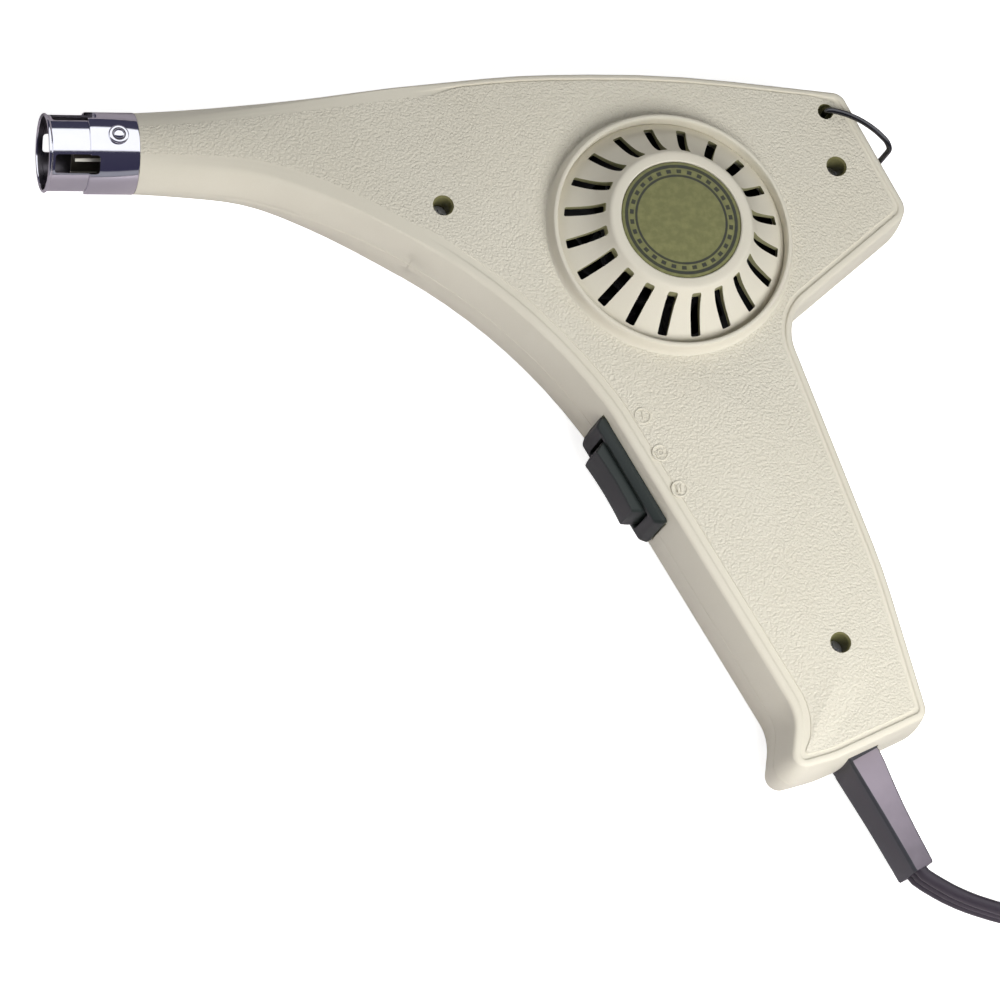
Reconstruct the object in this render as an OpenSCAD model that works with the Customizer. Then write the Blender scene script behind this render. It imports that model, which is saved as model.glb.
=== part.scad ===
// Embossing heat tool lying on its right-hand side, nozzle towards -X, left-hand side up.
// Lengths are in millimetres and angles in degrees. The pieces are drawn in the tool's own frame:
// X runs back along the barrel from the nozzle lip, Y up from the barrel axis, Z across from the
// parting plane. place() then sets the tool on the floor, with the origin under its middle.

/* [Casing] */
// Thickness of the casing across its flat sides
body_t = 24; // [22:0.5:26]
// Wall thickness of the casing
wall = 2.2; // [1.8:0.1:2.4]
// How far the wall swells out at the parting line
crown = 1.3; // [0.8:0.1:1.6]
// Rounding of the edge between wall and side
edge_r = 1.2; // [0.8:0.1:1.5]
// Radius of the barrel at its front end
barrel_r = 10.2; // [10:0.05:10.6]
// Distance from the nozzle lip to the front of the casing
nozzle_l = 23; // [21:0.5:25]
// Distance from the nozzle lip back to the fan axis
fan_x = 158.2; // [152:0.5:166]
// Drop from the barrel axis to the fan axis
fan_drop = 25.5; // [24:0.5:27]
// Height of the casing's top above the fan axis
top_h = 44.8; // [43.5:0.1:47]
// Length of the casing behind the fan axis
rear_l = 65.8; // [64:0.5:70]
// Length of the grip below the top of the switch
grip_l = 105.3; // [104:0.5:115]
// Depth of the grip from front to back at its waist
grip_w = 42.3; // [40:0.1:45]
// Lean of the grip from upright
grip_lean = 26; // [24:0.5:28]
// Width of the raised bead along the edge of the side
bead_w = 3.2; // [2:0.1:4]
// Height of the bead over the textured panel
bead_h = 0.4; // [0.2:0.1:0.6]
// Height of the round foot on the right-hand side
pan_h = 3.6; // [3.4:0.1:4.4]
// Radius of the round foot at its face
pan_r = 34.5; // [34:0.1:35]

/* [Intake] */
// Outer radius of the intake boss at its top
ring_r = 31.4; // [31:0.1:32]
// Height of the intake boss over the side
ring_h = 3.6; // [3:0.1:4.5]
// Radius of the hole in the boss that holds the grille
grille_r = 30.4; // [30.2:0.1:30.6]
// Radius of the hub at the grille's middle
hub_r = 18.6; // [18:0.1:19]
// Height of the hub over the side
hub_h = 10.7; // [10.2:0.1:12]
// Thickness of the grille
grille_t = 1.6; // [1.2:0.1:1.8]
// Number of slots
slot_n = 20; // [12:1:24]
// Width of each slot
slot_w = 2.5; // [1.2:0.1:2.6]
// Radius at which the slots start
slot_in = 19.6; // [19.4:0.1:21.5]
// Radius at which the slots end
slot_out = 28.3; // [27:0.1:28.6]
// Radius of the plate in the hub
plate_r = 15.7; // [14:0.1:16.5]

/* [Nozzle] */
// Outer radius of the outlet sleeve
sleeve_r = 9.55; // [9.3:0.05:9.55]
// Thickness of the sheet metal
sheet_t = 0.45; // [0.4:0.05:0.6]
// Length of sleeve that stands out of the band
sleeve_out = 10.5; // [9:0.5:12]
// Radius of the rolled lip's bead
lip_r = 0.45; // [0.3:0.05:0.6]
// Angle that each outlet window spans
window_arc = 36; // [30:1:50]
// Distance from the lip to the windows
window_x = 1.7; // [1.5:0.1:3]
// Length of each window
window_l = 11.2; // [8:0.1:12]
// Radius of the button on the band
button_r = 2.6; // [2:0.1:3]
// Distance from the front of the casing forward to the button
button_back = 5.4; // [4:0.1:7]
// Radius of the heater coil
heater_r = 5.55; // [5.2:0.05:5.8]
// Number of turns on the heater coil
heater_n = 20; // [10:1:22]
// Diameter of the heater wire
heater_wire = 0.8; // [0.6:0.1:0.9]

/* [Fan and motor] */
// Radius of the fan wheel
fan_r = 26.5; // [24:0.5:26.5]
// Height of the fan blades
blade_h = 8.6; // [6:0.2:8.6]
// Number of fan blades
blade_n = 16; // [10:1:20]
// Radius of the motor can
can_r = 14; // [13:0.1:14.4]
// Height of the motor can
can_h = 15.2; // [14.8:0.1:15.4]
// Radius of the motor shaft
shaft_r = 1; // [0.8:0.05:1.2]

/* [Switch] */
// Length of the switch bezel
bezel_l = 31.2; // [29:0.1:32]
// Width of the switch bezel
bezel_w = 16; // [15.5:0.5:17]
// Height of the bezel's face over the grip's edge line
bezel_h = 3.4; // [2.6:0.1:3.6]
// Distance from the top of the grip to the rocker's pivot
switch_at = 15; // [14.5:0.1:18]
// Width of the rocker
rocker_w = 11; // [9:0.5:11]
// Radius of the rocker's ends about its pivot
rocker_r = 10.9; // [9.5:0.1:11.2]
// How far the rocker stands over the bezel
rocker_h = 3; // [2:0.1:3.4]

/* [Bail] */
// Diameter of the bail's wire
wire_d = 1.5; // [1.2:0.1:1.6]
// Distance from the pivot to the crossbar
bail_reach = 19.6; // [18:0.2:20]
// Angle of the bail below +X as it lies
bail_rest = 36; // [34:1:38]

/* [Cord] */
// Width of the flat cord
cord_w = 9.3; // [8:0.1:9.6]
// Thickness of the flat cord
cord_t = 3.3; // [3:0.1:3.4]
// Radius of the put-away coil at the middle of its turns
coil_r = 50; // [48:1:55]
// Length of the strain relief outside the casing
relief_l = 31.4; // [28:0.2:34]
// Width of the plug body
plug_w = 25; // [24:0.5:26]
// Thickness of the plug body
plug_t = 18; // [16:0.5:22]
// Length of the plug body
plug_l = 38; // [34:1:45]

/* [Hidden] */

$fn = 64;
eps = 0.01;
fit = 0.05;
side_z = body_t / 2;
inner_z = side_z - wall;
floor_z = side_z + pan_h;

// Places that the outline is drawn from
fan = [fan_x, -fan_drop];
grip_at = fan + [-20.52, -47.85];
grip_down = [sin(grip_lean), -cos(grip_lean)];
grip_back = [cos(grip_lean), sin(grip_lean)];
function on_grip_xy(along, across) = grip_at + along * grip_down + across * grip_back;

// Corners of the side, clockwise from the top of the barrel's front end: [point, rounding radius]
corners = [
    [[nozzle_l, barrel_r], 0],
    [[nozzle_l + 61, barrel_r + 3.5], 250],
    [fan + [-36, top_h - 1.1], 200],
    [fan + [2, top_h], 300],
    [fan + [rear_l - 14.8, top_h - 4.9], 4],
    [fan + [rear_l, 6.6], 5],
    [on_grip_xy(-1.4, grip_w + 12.4), 13],
    [on_grip_xy(grip_l - 38.4, grip_w), 150],
    [on_grip_xy(grip_l, grip_w - 10.6), 3.5],
    [on_grip_xy(grip_l - 1.8, 3.8), 30],
    [on_grip_xy(grip_l - 4.5, -8.6), 3.5],
    [on_grip_xy(grip_l - 16.6, 0.8), 13],
    [on_grip_xy(0, 0), 60],
    [[fan[0] - 49.2, -fan_drop - 3.8], 136],
    [[nozzle_l + 29, -barrel_r - 1.4], 60],
    [[nozzle_l, -barrel_r], 0]
];
corner_n = len(corners);
function unit(v) = v / norm(v);
function left_of(v) = [-v[1], v[0]];
function turned(v, a) = [v[0] * cos(a) - v[1] * sin(a), v[0] * sin(a) + v[1] * cos(a)];
function way_in(c, i) = unit(c[i][0] - c[(i + corner_n - 1) % corner_n][0]);
function way_out(c, i) = unit(c[(i + 1) % corner_n][0] - c[i][0]);
function turn_at(c, i) = let (a = way_in(c, i), b = way_out(c, i))
    atan2(a[0] * b[1] - a[1] * b[0], a[0] * b[0] + a[1] * b[1]);

// The corners moved out by d square to their edges, with their radii grown or shrunk to match
function moved(d) = [
    for (i = [0:corner_n - 1])
        let (
            p = corners[i][0], r = corners[i][1], turn = turn_at(corners, i),
            a = left_of(way_in(corners, i)), b = left_of(way_out(corners, i))
        )
        r == 0
            ? [p + [0, sign(p[1]) * d], 0]
            : [p + d * (a + b) / (1 + a * b), max(0.8, r - sign(turn) * d)]
];
function arc_steps(i) = max(1, ceil(abs(turn_at(corners, i)) / 9));
function arc_points(c, i) = c[i][1] == 0 ? [c[i][0]] :
    let (
        a = way_in(c, i), turn = turn_at(c, i), r = c[i][1],
        start = c[i][0] - a * r * tan(abs(turn) / 2),
        middle = start + left_of(a) * r * sign(turn), n = arc_steps(i)
    ) [for (k = [0:n]) middle + turned(start - middle, turn * k / n)];
function whole_outline(d) = let (c = moved(d)) [for (i = [0:corner_n - 1]) each arc_points(c, i)];

// Top and bottom of the barrel, as heights over X
join_x = nozzle_l + 69;
top_line = [for (i = [0:3]) each arc_points(corners, i)];
bottom_line = [
    for (i = [corner_n - 1:-1:corner_n - 4])
        let (p = arc_points(corners, i)) each [for (k = [len(p) - 1:-1:0]) p[k]]
];
function top_y(x) = lookup(x, top_line);
function bottom_y(x) = lookup(x, bottom_line);

// Outline of the flat-sided part behind the barrel, moved out by d
function body_outline(d) = concat(
    [[join_x, top_y(join_x) + d]],
    [for (p = whole_outline(d)) if (p[0] > join_x + 0.5) p],
    [[join_x, bottom_y(join_x) - d]]
);
rim = body_outline(0);
widest = body_outline(crown);
tool_x = [0, max([for (p = widest) p[0]])];
tool_y = [min([for (p = widest) p[1]]), max([for (p = widest) p[1]])];

// Closed solid through rings of equal point count, counter-clockwise as seen from beyond the last one
function loft_faces(rings, m) = concat(
    [for (j = [0:rings - 2], i = [0:m - 1]) each
        let (a = j * m + i, b = j * m + (i + 1) % m) [[a, b, b + m], [a, b + m, a + m]]]
);
module loft(points, rings, m) {
    polyhedron(
        points = points,
        faces = concat(
            [for (f = loft_faces(rings, m)) [f[2], f[1], f[0]]],
            [[for (i = [0:m - 1]) i]],
            [[for (i = [m - 1:-1:0]) (rings - 1) * m + i]]
        ),
        convexity = 10
    );
}

// Half of the casing's body: the wall swells at the parting plane and rounds over at the side
wall_steps = [[0, 1], [0.45, 0.8], [0.75, 0.4], [1, 0]];
module half_body() {
    z_levels = concat(
        [for (s = wall_steps) [s[0] * (side_z - edge_r), s[1] * crown]],
        [for (a = [45, 90]) [side_z - edge_r * (1 - sin(a)), -edge_r * (1 - cos(a))]]
    );
    outlines = [for (l = z_levels) body_outline(l[1])];
    m = len(outlines[0]);
    points = [for (j = [0:len(z_levels) - 1], i = [m - 1:-1:0]) concat(outlines[j][i], [z_levels[j][0]])];
    loft(points, len(z_levels), m);
}

// Half of the barrel: round at the front, squarer towards the body
barrel_steps = [0, 0.14, 0.28, 0.42, 0.56, 0.7, 0.85, 1, 1.03];
module half_barrel() {
    m = 18;
    inset = 0.12;
    function share(s) = let (t = min(1, s)) t * t * (3 - 2 * t);
    sections = [
        for (s = barrel_steps)
            let (
                x = nozzle_l + s * (join_x - nozzle_l), w = share(s),
                grow = crown * w - (s >= 1 ? inset : 0),
                top = top_y(x) + grow, low = bottom_y(x) - grow,
                mid = (top + low) / 2, half = (top - low) / 2,
                deep = barrel_r + (side_z - barrel_r) * w - (s >= 1 ? inset : 0), e = 2 / (2 + 5 * w)
            )
            [for (i = [0:m]) let (a = 180 * i / m)
                [x, mid + half * sign(cos(a)) * pow(abs(cos(a)), e), deep * pow(sin(a), e)]]
    ];
    loft([for (s = sections) each s], len(sections), m + 1);
}

// Both lofts as one mesh: resize() with zeros leaves the size as it is
module outer_half() {
    resize([0, 0, 0]) {
        half_body();
        half_barrel();
    }
}

module at_fan() { translate([fan[0], fan[1], 0]) children(); }
module on_grip() { translate([grip_at[0], grip_at[1], 0]) rotate([0, 0, grip_lean - 90]) children(); }
module block(x, y, z) { translate([x[0], y[0], z[0]]) cube([x[1] - x[0], y[1] - y[0], z[1] - z[0]]); }
module along_x(x0, x1, r) { translate([x0, 0, 0]) rotate([0, 90, 0]) cylinder(h = x1 - x0, r = r); }
module prism(outline, z0, z1) { translate([0, 0, z0]) linear_extrude(z1 - z0) polygon(outline); }

// Swept tube along points, its section given as [sideways, up] pairs
function flat_way(p, i) = let (a = p[max(0, i - 1)], b = p[min(len(p) - 1, i + 1)])
    unit([b[0] - a[0], b[1] - a[1]]);
module flat_tube(p, section) {
    m = len(section);
    loft([for (i = [0:len(p) - 1], s = section) let (n = left_of(flat_way(p, i)))
        [p[i][0] - n[0] * s[0], p[i][1] - n[1] * s[0], p[i][2] + s[1]]], len(p), m);
}
function ring_dir(p, i) = unit(p[min(len(p) - 1, i + 1)] - p[max(0, i - 1)]);
module wire_tube(p, r, sides) {
    loft([for (i = [0:len(p) - 1], k = [0:sides - 1])
        let (d = ring_dir(p, i), u = unit(cross(d, [0.31, 0.2, 0.93])), v = cross(u, d), a = -360 * k / sides)
            p[i] + r * (cos(a) * u + sin(a) * v)], len(p), sides);
}

// Screws that hold the shells together: places on the side
screw_at = [fan + [-59, 7.5], fan + [rear_l - 18.6, 19.2], on_grip_xy(grip_l - 26.8, grip_w - 21)];
post_r = 4.1;
screw_head_r = 2.3;
screw_r = 1.2;
head_low = 4;
bail_at = fan + [rear_l - 19.8, top_h - 10.3];
bail_z = side_z + 0.3 + wire_d / 2;

// Switch places in the grip's frame: x down the grip, y towards its back
seat_y = -0.5;
pivot_y = -bezel_h + 3.4;
well_half = rocker_r + 0.3;
housing_z = 6.7;
housing_back = 17.5;
terminal_x = [switch_at - 9, switch_at, switch_at + 9];

// Strain relief and cord clamp in the grip's frame
relief_y = 13.3;
relief_x = grip_l + 0.2;
relief_half = [4.4, 6.9];
clamp_x = grip_l - 17;
clamp_half = 9;

// Nozzle and heater: the sleeve's mouth is opened out a little as far as the windows, which stops a tip there
mouth_r = sleeve_r - sheet_t;
mouth_l = window_x;
mouth_step = 0.3;
band_r = barrel_r + 0.1;
band_in = sleeve_r + fit;
neck_r = 8.6;
bore_r = neck_r + fit;
neck_end = nozzle_l + 15;
liner_r = neck_r - sheet_t - fit;
shield_r = 7.6;
shield_x = [nozzle_l - 8, nozzle_l + 39];
former_x = nozzle_l - 15.5;
former_end = nozzle_l + 49;
former_half = heater_r - heater_wire / 2 - 0.1;
mica_t = 0.8;
ear_l = 3;
ear_x = [former_x + 8.5, shield_x[1] - 5];
button_x = nozzle_l - button_back;
button_turn = -4.7;
button_pin = 1.2;
window_angles = [for (k = [0:3]) 36 + 90 * k];
heater_turn = 42;

// Fan and motor levels
fan_z = -side_z - pan_h + wall + 0.5;
cover_z = fan_z + 0.9 + blade_h + 0.8;
cover_t = 1.2;
can_z = cover_z + cover_t;
cap_z = can_z + can_h;
board_z = cap_z + 1.6;
can_t = 0.5;

module intake_boss() {
    base = ring_r + 2;
    rotate_extrude($fn = 96) polygon([
        [grille_r - 3, inner_z + eps], [base, inner_z + eps], [base, side_z - bead_h],
        [ring_r + 1, side_z + 0.5],
        [ring_r + 0.4, side_z + 1.2], [ring_r, side_z + ring_h - 0.5], [ring_r - 0.4, side_z + ring_h],
        [grille_r - 3, side_z + ring_h]
    ]);
}
module panel_recess() {
    difference() {
        prism(body_outline(-bead_w - edge_r), side_z - bead_h, side_z + 1);
        at_fan() cylinder(h = 3 * side_z, r = ring_r + 2, center = true, $fn = 96);
        translate([join_x - 5, -50, 0]) cube([9, 100, side_z + 2]);
    }
}
module both_shell_cuts() {
    along_x(nozzle_l - 1, neck_end + 26, bore_r);
    along_x(neck_end + 10, join_x + 10, bore_r + 1.2);
    on_grip() {
        block([switch_at - bezel_l / 2 - 0.3, switch_at + bezel_l / 2 + 0.3], [-6, seat_y],
            [-bezel_w / 2 - 0.3, bezel_w / 2 + 0.3]);
        block([switch_at - 14, switch_at + 14], [-6, housing_back], [-housing_z - fit, housing_z + fit]);
        block([relief_x - 9, relief_x + 9], [relief_y - relief_half[0] - 0.1, relief_y + relief_half[0] + 0.1],
            [-relief_half[1] - 0.1, relief_half[1] + 0.1]);
    }
}
bail_leg = 7.2;
bail_well = 3.6;
module bail_socket() {
    translate([bail_at[0], bail_at[1], side_z - bail_leg - 0.8]) cylinder(h = bail_leg, r = wire_d / 2 + fit);
    translate([bail_at[0], bail_at[1], side_z - bail_well]) cylinder(h = bail_well + 1, r = 2);
}

module left_shell() {
    color("#D7D1C0") difference() {
        union() {
            difference() {
                outer_half();
                prism(body_outline(-wall + 0.3), -1, inner_z);
            }
            at_fan() intersection() {
                intake_boss();
                cylinder(h = 40, r = 40);
            }
            for (p = screw_at) translate([p[0], p[1], 0]) cylinder(h = inner_z + eps, r = post_r);
            translate([bail_at[0], bail_at[1], side_z - bail_leg - 1.8]) cylinder(h = bail_leg + 0.3, r = 3.2);
        }
        both_shell_cuts();
        panel_recess();
        at_fan() translate([0, 0, side_z - 1]) cylinder(h = 9, r = grille_r, $fn = 96);
        at_fan() cylinder(h = side_z, r = grille_r - 1.6, $fn = 96);
        for (p = screw_at) translate([p[0], p[1], 0]) {
            translate([0, 0, head_low]) cylinder(h = side_z, r = screw_head_r + 0.1);
            translate([0, 0, -1]) cylinder(h = side_z, r = screw_r + 0.3);
        }
        bail_socket();
    }
}

// Volute: the fan's spiral wall, opening towards the barrel
volute_r0 = fan_r + 2;
volute_grow = 11;
volute_from = 150;
rib_t = 1.5;
function volute_r(s) = volute_r0 + volute_grow * s;
function volute_arc(grow) = [
    for (k = [0:40])
        let (s = k / 40, a = volute_from + 300 * s) fan + (volute_r(s) + grow) * [cos(a), sin(a)]
];
tongue = fan + volute_r0 * [cos(volute_from), sin(volute_from)];
duct_low = [join_x + 1, -bore_r - 1.1];
module volute_ribs() {
    outer = volute_arc(rib_t);
    inner = volute_arc(0);
    spiral = concat(outer, [for (k = [40:-1:0]) inner[k]]);
    intersection() {
        prism(spiral, -inner_z - 0.5, cover_z);
        prism(body_outline(-wall), -floor_z, 0);
    }
    intersection() {
        prism(spiral, -floor_z + wall - 0.5, -inner_z + 0.5);
        at_fan() translate([0, 0, -floor_z]) cylinder(h = floor_z, r = pan_r - wall - 1.5, $fn = 96);
    }
    duct = [tongue + [0.5, 0.4], duct_low, duct_low - [0, rib_t], tongue + [-0.9, -rib_t - 0.3]];
    prism(duct, -inner_z - eps, cover_z);
}
module right_shell() {
    color("#D2CCBB") difference() {
        union() {
            mirror([0, 0, 1]) difference() {
                union() {
                    outer_half();
                    at_fan() translate([0, 0, side_z - 1])
                        cylinder(h = pan_h + 1, r1 = pan_r + 1.3, r2 = pan_r, $fn = 96);
                }
                prism(body_outline(-wall + 0.3), -1, inner_z);
                at_fan() translate([0, 0, inner_z - 1])
                    cylinder(h = pan_h + 1, r = pan_r - wall + 1, $fn = 96);
            }
            volute_ribs();
            for (p = screw_at) translate([p[0], p[1], -inner_z - eps]) cylinder(h = inner_z - 0.05, r = post_r);
            translate([bail_at[0], bail_at[1], 1.5 - side_z]) cylinder(h = bail_leg + 0.3, r = 3.2);
            on_grip() for (s = [-1, 1])
                translate([clamp_x, relief_y + s * (clamp_half - 3), -inner_z - eps])
                    cylinder(h = inner_z - cord_w / 2 + 1, r = 2.9);
        }
        both_shell_cuts();
        mirror([0, 0, 1]) difference() {
            prism(body_outline(-bead_w - edge_r), side_z - bead_h, side_z + 1);
            at_fan() cylinder(h = 3 * side_z, r = pan_r + 2, center = true, $fn = 96);
        }
        for (p = screw_at) translate([p[0], p[1], -inner_z + 0.8]) cylinder(h = side_z, r = screw_r + fit);
        on_grip() for (s = [-1, 1])
            translate([clamp_x, relief_y + s * (clamp_half - 3), -inner_z + 0.6])
                cylinder(h = inner_z, r = 1.1 + fit);
        mirror([0, 0, 1]) bail_socket();
    }
}

// Grille: a rim on the boss's ledge, a hollow-sided dome and the hub
module intake_grille() {
    outer = [
        [grille_r - fit, side_z - 1], [grille_r - fit, side_z + 0.5], [grille_r - 1, side_z + 0.9],
        [28.6, side_z + 1.6], [26, side_z + 2.9], [23.6, side_z + 4.4], [21.6, side_z + 6.2],
        [20.2, side_z + 8],
        [hub_r + 0.6, side_z + hub_h - 1.2], [hub_r, side_z + hub_h - 0.4], [hub_r - 0.9, side_z + hub_h],
        [plate_r + fit, side_z + hub_h], [plate_r + fit, side_z + hub_h - 1.1]
    ];
    under = [
        [0, side_z + hub_h - 1.1], [0, side_z + hub_h - 1.1 - grille_t],
        [hub_r - 2, side_z + hub_h - 1.1 - grille_t],
        [20.2 - grille_t, side_z + 6.6], [21.6 - grille_t, side_z + 5], [23.6 - grille_t, side_z + 3],
        [26 - grille_t / 2, side_z + 2.9 - grille_t], [28.4, side_z - 0.2], [grille_r - 1.55, side_z - 1]
    ];
    color("#DDD7C6") at_fan() difference() {
        rotate_extrude($fn = 96) polygon(concat(outer, under));
        for (k = [0:slot_n - 1]) rotate([0, 0, 6.9 + 360 * k / slot_n])
            translate([slot_in, -slot_w / 2, side_z - 3]) cube([slot_out - slot_in, slot_w, hub_h + 6]);
    }
}
module hub_plate() {
    color("#6E6F47") at_fan() translate([0, 0, side_z + hub_h - 1.1]) cylinder(h = 0.8, r = plate_r, $fn = 96);
}

// Nozzle
module window_cuts(x0, x1) {
    for (a = window_angles) rotate([a, 0, 0])
        translate([x0, -sleeve_r * sin(window_arc / 2), 0]) cube([x1 - x0, 2 * sleeve_r * sin(window_arc / 2), 20]);
}
module at_button() { translate([button_x, 0, 0]) rotate([button_turn, 0, 0]) children(); }
module nozzle_band() {
    color("#C9C9CC") difference() {
        rotate([0, 90, 0]) rotate_extrude() polygon([
            [band_in, sleeve_out], [band_r - 0.25, sleeve_out], [band_r, sleeve_out + 0.3], [band_r, nozzle_l - fit],
            [neck_r, nozzle_l - fit], [neck_r, neck_end], [neck_r - sheet_t, neck_end],
            [neck_r - sheet_t, nozzle_l - fit - 0.8], [band_in, nozzle_l - fit - 0.8]
        ]);
        window_cuts(sleeve_out - 1, window_x + window_l);
        at_button() cylinder(h = 20, r = button_pin);
    }
}
module nozzle_button() {
    color("#B9B9BE") at_button() {
        translate([0, 0, sleeve_r - 1.2]) cylinder(h = band_r - sleeve_r + 1.3, r = button_pin - fit);
        translate([0, 0, band_r + 0.02]) rotate_extrude() polygon([
            [0, 0], [button_r, 0], [button_r, 0.5], [button_r - 0.3, 0.8], [button_r - 0.8, 0.8],
            [button_r - 1, 0.55], [button_r - 1.2, 0.9], [button_r - 1.7, 1.3], [0, 1.5]
        ]);
    }
}
module nozzle_sleeve() {
    color("#D5D5D8") difference() {
        rotate([0, 90, 0]) rotate_extrude() union() {
            translate([mouth_r, lip_r]) square([sleeve_r - mouth_r, nozzle_l - 1.2 - lip_r]);
            translate([mouth_r - mouth_step, mouth_l]) square([mouth_step + eps, nozzle_l - 1.2 - mouth_l]);
            translate([mouth_r + lip_r, lip_r]) circle(r = lip_r, $fn = 24);
        }
        window_cuts(window_x, window_x + window_l);
        at_button() cylinder(h = 20, r = button_pin);
    }
}
module heater_shield() {
    color("#A7A9AC") difference() {
        along_x(shield_x[0], shield_x[1], shield_r);
        along_x(shield_x[0] - 1, shield_x[1] + 1, shield_r - 0.35);
    }
}
module mica_liner() {
    color("#C8B489") difference() {
        along_x(nozzle_l - 0.3, shield_x[1] - 3, liner_r);
        along_x(nozzle_l - 1, shield_x[1], shield_r + fit);
    }
}
module mica_former() {
    ear = shield_r - 0.35 - fit;
    color("#D9CDA6") for (a = [0, 90]) rotate([heater_turn + a, 0, 0]) {
        block([former_x, a == 0 ? former_end : shield_x[1]], [-former_half, former_half], [-mica_t / 2, mica_t / 2]);
        for (x = ear_x) block([x, x + ear_l], [-ear, ear], [-mica_t / 2, mica_t / 2]);
    }
}
// Heater wire: its ends run straight on along the barrel from the winding to the former's ears
heater_end = heater_wire + 0.2;
heater_from = ear_x[0] + ear_l + 0.02;
heater_to = ear_x[1] - 0.02;
heater_rings = 8;
heater_steps = heater_n * heater_rings;
heater_winding = [
    for (k = [0:heater_steps])
        let (a = 360 * k / heater_rings, run = heater_to - heater_from - 2 * heater_end)
            [heater_from + heater_end + run * k / heater_steps, heater_r * cos(a), heater_r * sin(a)]
];
heater_line = concat([[heater_from, heater_r, 0]], heater_winding, [[heater_to, heater_r, 0]]);
heater_gaps = [
    for (i = [0:heater_steps], j = [i + heater_rings / 2:1:heater_steps])
        let (d = norm(heater_winding[i] - heater_winding[j])) if (d < 4) d - heater_wire
];
echo(heater_coil_least_gap = min(heater_gaps));
module heater_coil() {
    color("#8C8F93") rotate([heater_turn, 0, 0]) wire_tube(heater_line, heater_wire / 2, 6);
}
module thermal_cutout() {
    color("#B08D57") rotate([heater_turn, 0, 0])
        block([shield_x[1] + 1.5, former_end - 0.5], [-3, 3], [mica_t / 2, mica_t / 2 + 3.2]);
}

// Fan and motor
module fan_cover() {
    plate = volute_arc(rib_t - 0.1);
    color("#2D2E30") difference() {
        intersection() {
            prism(plate, cover_z, can_z);
            prism(body_outline(-wall), cover_z, can_z);
        }
        at_fan() difference() {
            translate([0, 0, cover_z - 1]) cylinder(h = 4, r = fan_r - 3);
            translate([0, 0, cover_z - 2]) cylinder(h = 6, r = can_r + 1);
            for (a = [30, 150, 270]) rotate([0, 0, a]) block([0, fan_r], [-2, 2], [cover_z - 2, can_z + 2]);
        }
        at_fan() translate([0, 0, cover_z - 1]) cylinder(h = 4, r = 3.3);
    }
}
module fan_wheel() {
    color("#3B3D40") at_fan() difference() {
        union() {
            translate([0, 0, fan_z]) cylinder(h = 0.9, r = fan_r);
            translate([0, 0, fan_z]) cylinder(h = blade_h, r = 3.5);
            for (k = [0:blade_n - 1]) rotate([0, 0, 360 * k / blade_n])
                translate([fan_r - 1, 0, fan_z + 0.8]) rotate([0, 0, 180 - 32])
                    translate([0, -0.4, 0]) cube([12, 0.8, blade_h]);
            translate([0, 0, fan_z + blade_h - 0.2]) difference() {
                cylinder(h = 1.1, r = fan_r);
                translate([0, 0, -1]) cylinder(h = 4, r = fan_r - 3);
            }
        }
        translate([0, 0, fan_z - 1]) cylinder(h = 30, r = shaft_r + 0.02);
    }
}
module motor_shaft() {
    color("#AEB1B5") at_fan() translate([0, 0, fan_z]) cylinder(h = cap_z + 1.4 - fan_z, r = shaft_r);
}
module motor_can() {
    color("#9DA0A4") at_fan() difference() {
        translate([0, 0, can_z]) cylinder(h = can_h, r = can_r);
        translate([0, 0, can_z + 0.8]) cylinder(h = can_h, r = can_r - can_t);
        translate([0, 0, can_z - 1]) cylinder(h = 4, r = 3 + fit);
    }
}
module motor_end_cap() {
    color("#2D2E30") at_fan() difference() {
        union() {
            translate([0, 0, cap_z]) cylinder(h = 1.5, r = can_r);
            translate([0, 0, cap_z - 1]) cylinder(h = 1.1, r = can_r - can_t - fit);
        }
        translate([0, 0, cap_z - 2]) cylinder(h = 5, r = 2.5 + fit);
    }
}
module motor_magnets() {
    color("#4A4A4C") at_fan() for (a = [0, 180]) rotate([0, 0, a]) difference() {
        translate([0, 0, can_z + 2.4]) rotate_extrude(angle = 130) translate([can_r - 3.8, 0]) square([3.25, 9.4]);
    }
}
module motor_brushes() {
    color("#3A3A3A") at_fan() for (a = [0, 180]) rotate([0, 0, a]) {
        block([3.1, 8], [-1.5, 1.5], [cap_z - 2.6, cap_z - 1]);
    }
}
module motor_bushes() {
    color("#B8863B") at_fan() for (b = [[can_z, 2, 3], [cap_z - 0.6, 2, 2.5]])
        translate([0, 0, b[0]]) difference() {
            cylinder(h = b[1], r = b[2]);
            translate([0, 0, -1]) cylinder(h = 5, r = shaft_r + 0.04);
        }
}
core_z = [can_z + 3.8, can_z + 10.2];
module armature_core() {
    color("#7C7E80") at_fan() difference() {
        translate([0, 0, core_z[0]]) cylinder(h = core_z[1] - core_z[0], r = 9);
        translate([0, 0, core_z[0] - 1]) cylinder(h = 12, r = shaft_r + 0.02);
        for (a = [0, 120, 240]) rotate([0, 0, a])
            block([4.4, 12], [-1.7, 1.7], [core_z[0] - 1, core_z[1] + 1]);
    }
}
module armature_winding() {
    color("#A5552B") at_fan() {
        for (a = [0, 120, 240]) rotate([0, 0, a])
            block([4.5, 8.6], [-1.6, 1.6], [core_z[0] + eps, core_z[1] - eps]);
        for (z = [core_z[0] - 1.4, core_z[1]]) translate([0, 0, z]) rotate_extrude() polygon([
            [2.2, 0.1], [2.9, 0], [7.6, 0], [8.4, 0.5], [8.4, 0.9], [7.6, 1.4], [2.9, 1.4], [2.2, 1.3]
        ]);
    }
}
module commutator() {
    color("#C77B3A") at_fan() difference() {
        translate([0, 0, core_z[1] + 1.5]) cylinder(h = cap_z - 1.2 - core_z[1] - 1.5, r = 3);
        translate([0, 0, core_z[1]]) cylinder(h = 8, r = shaft_r + 0.02);
    }
}
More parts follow.
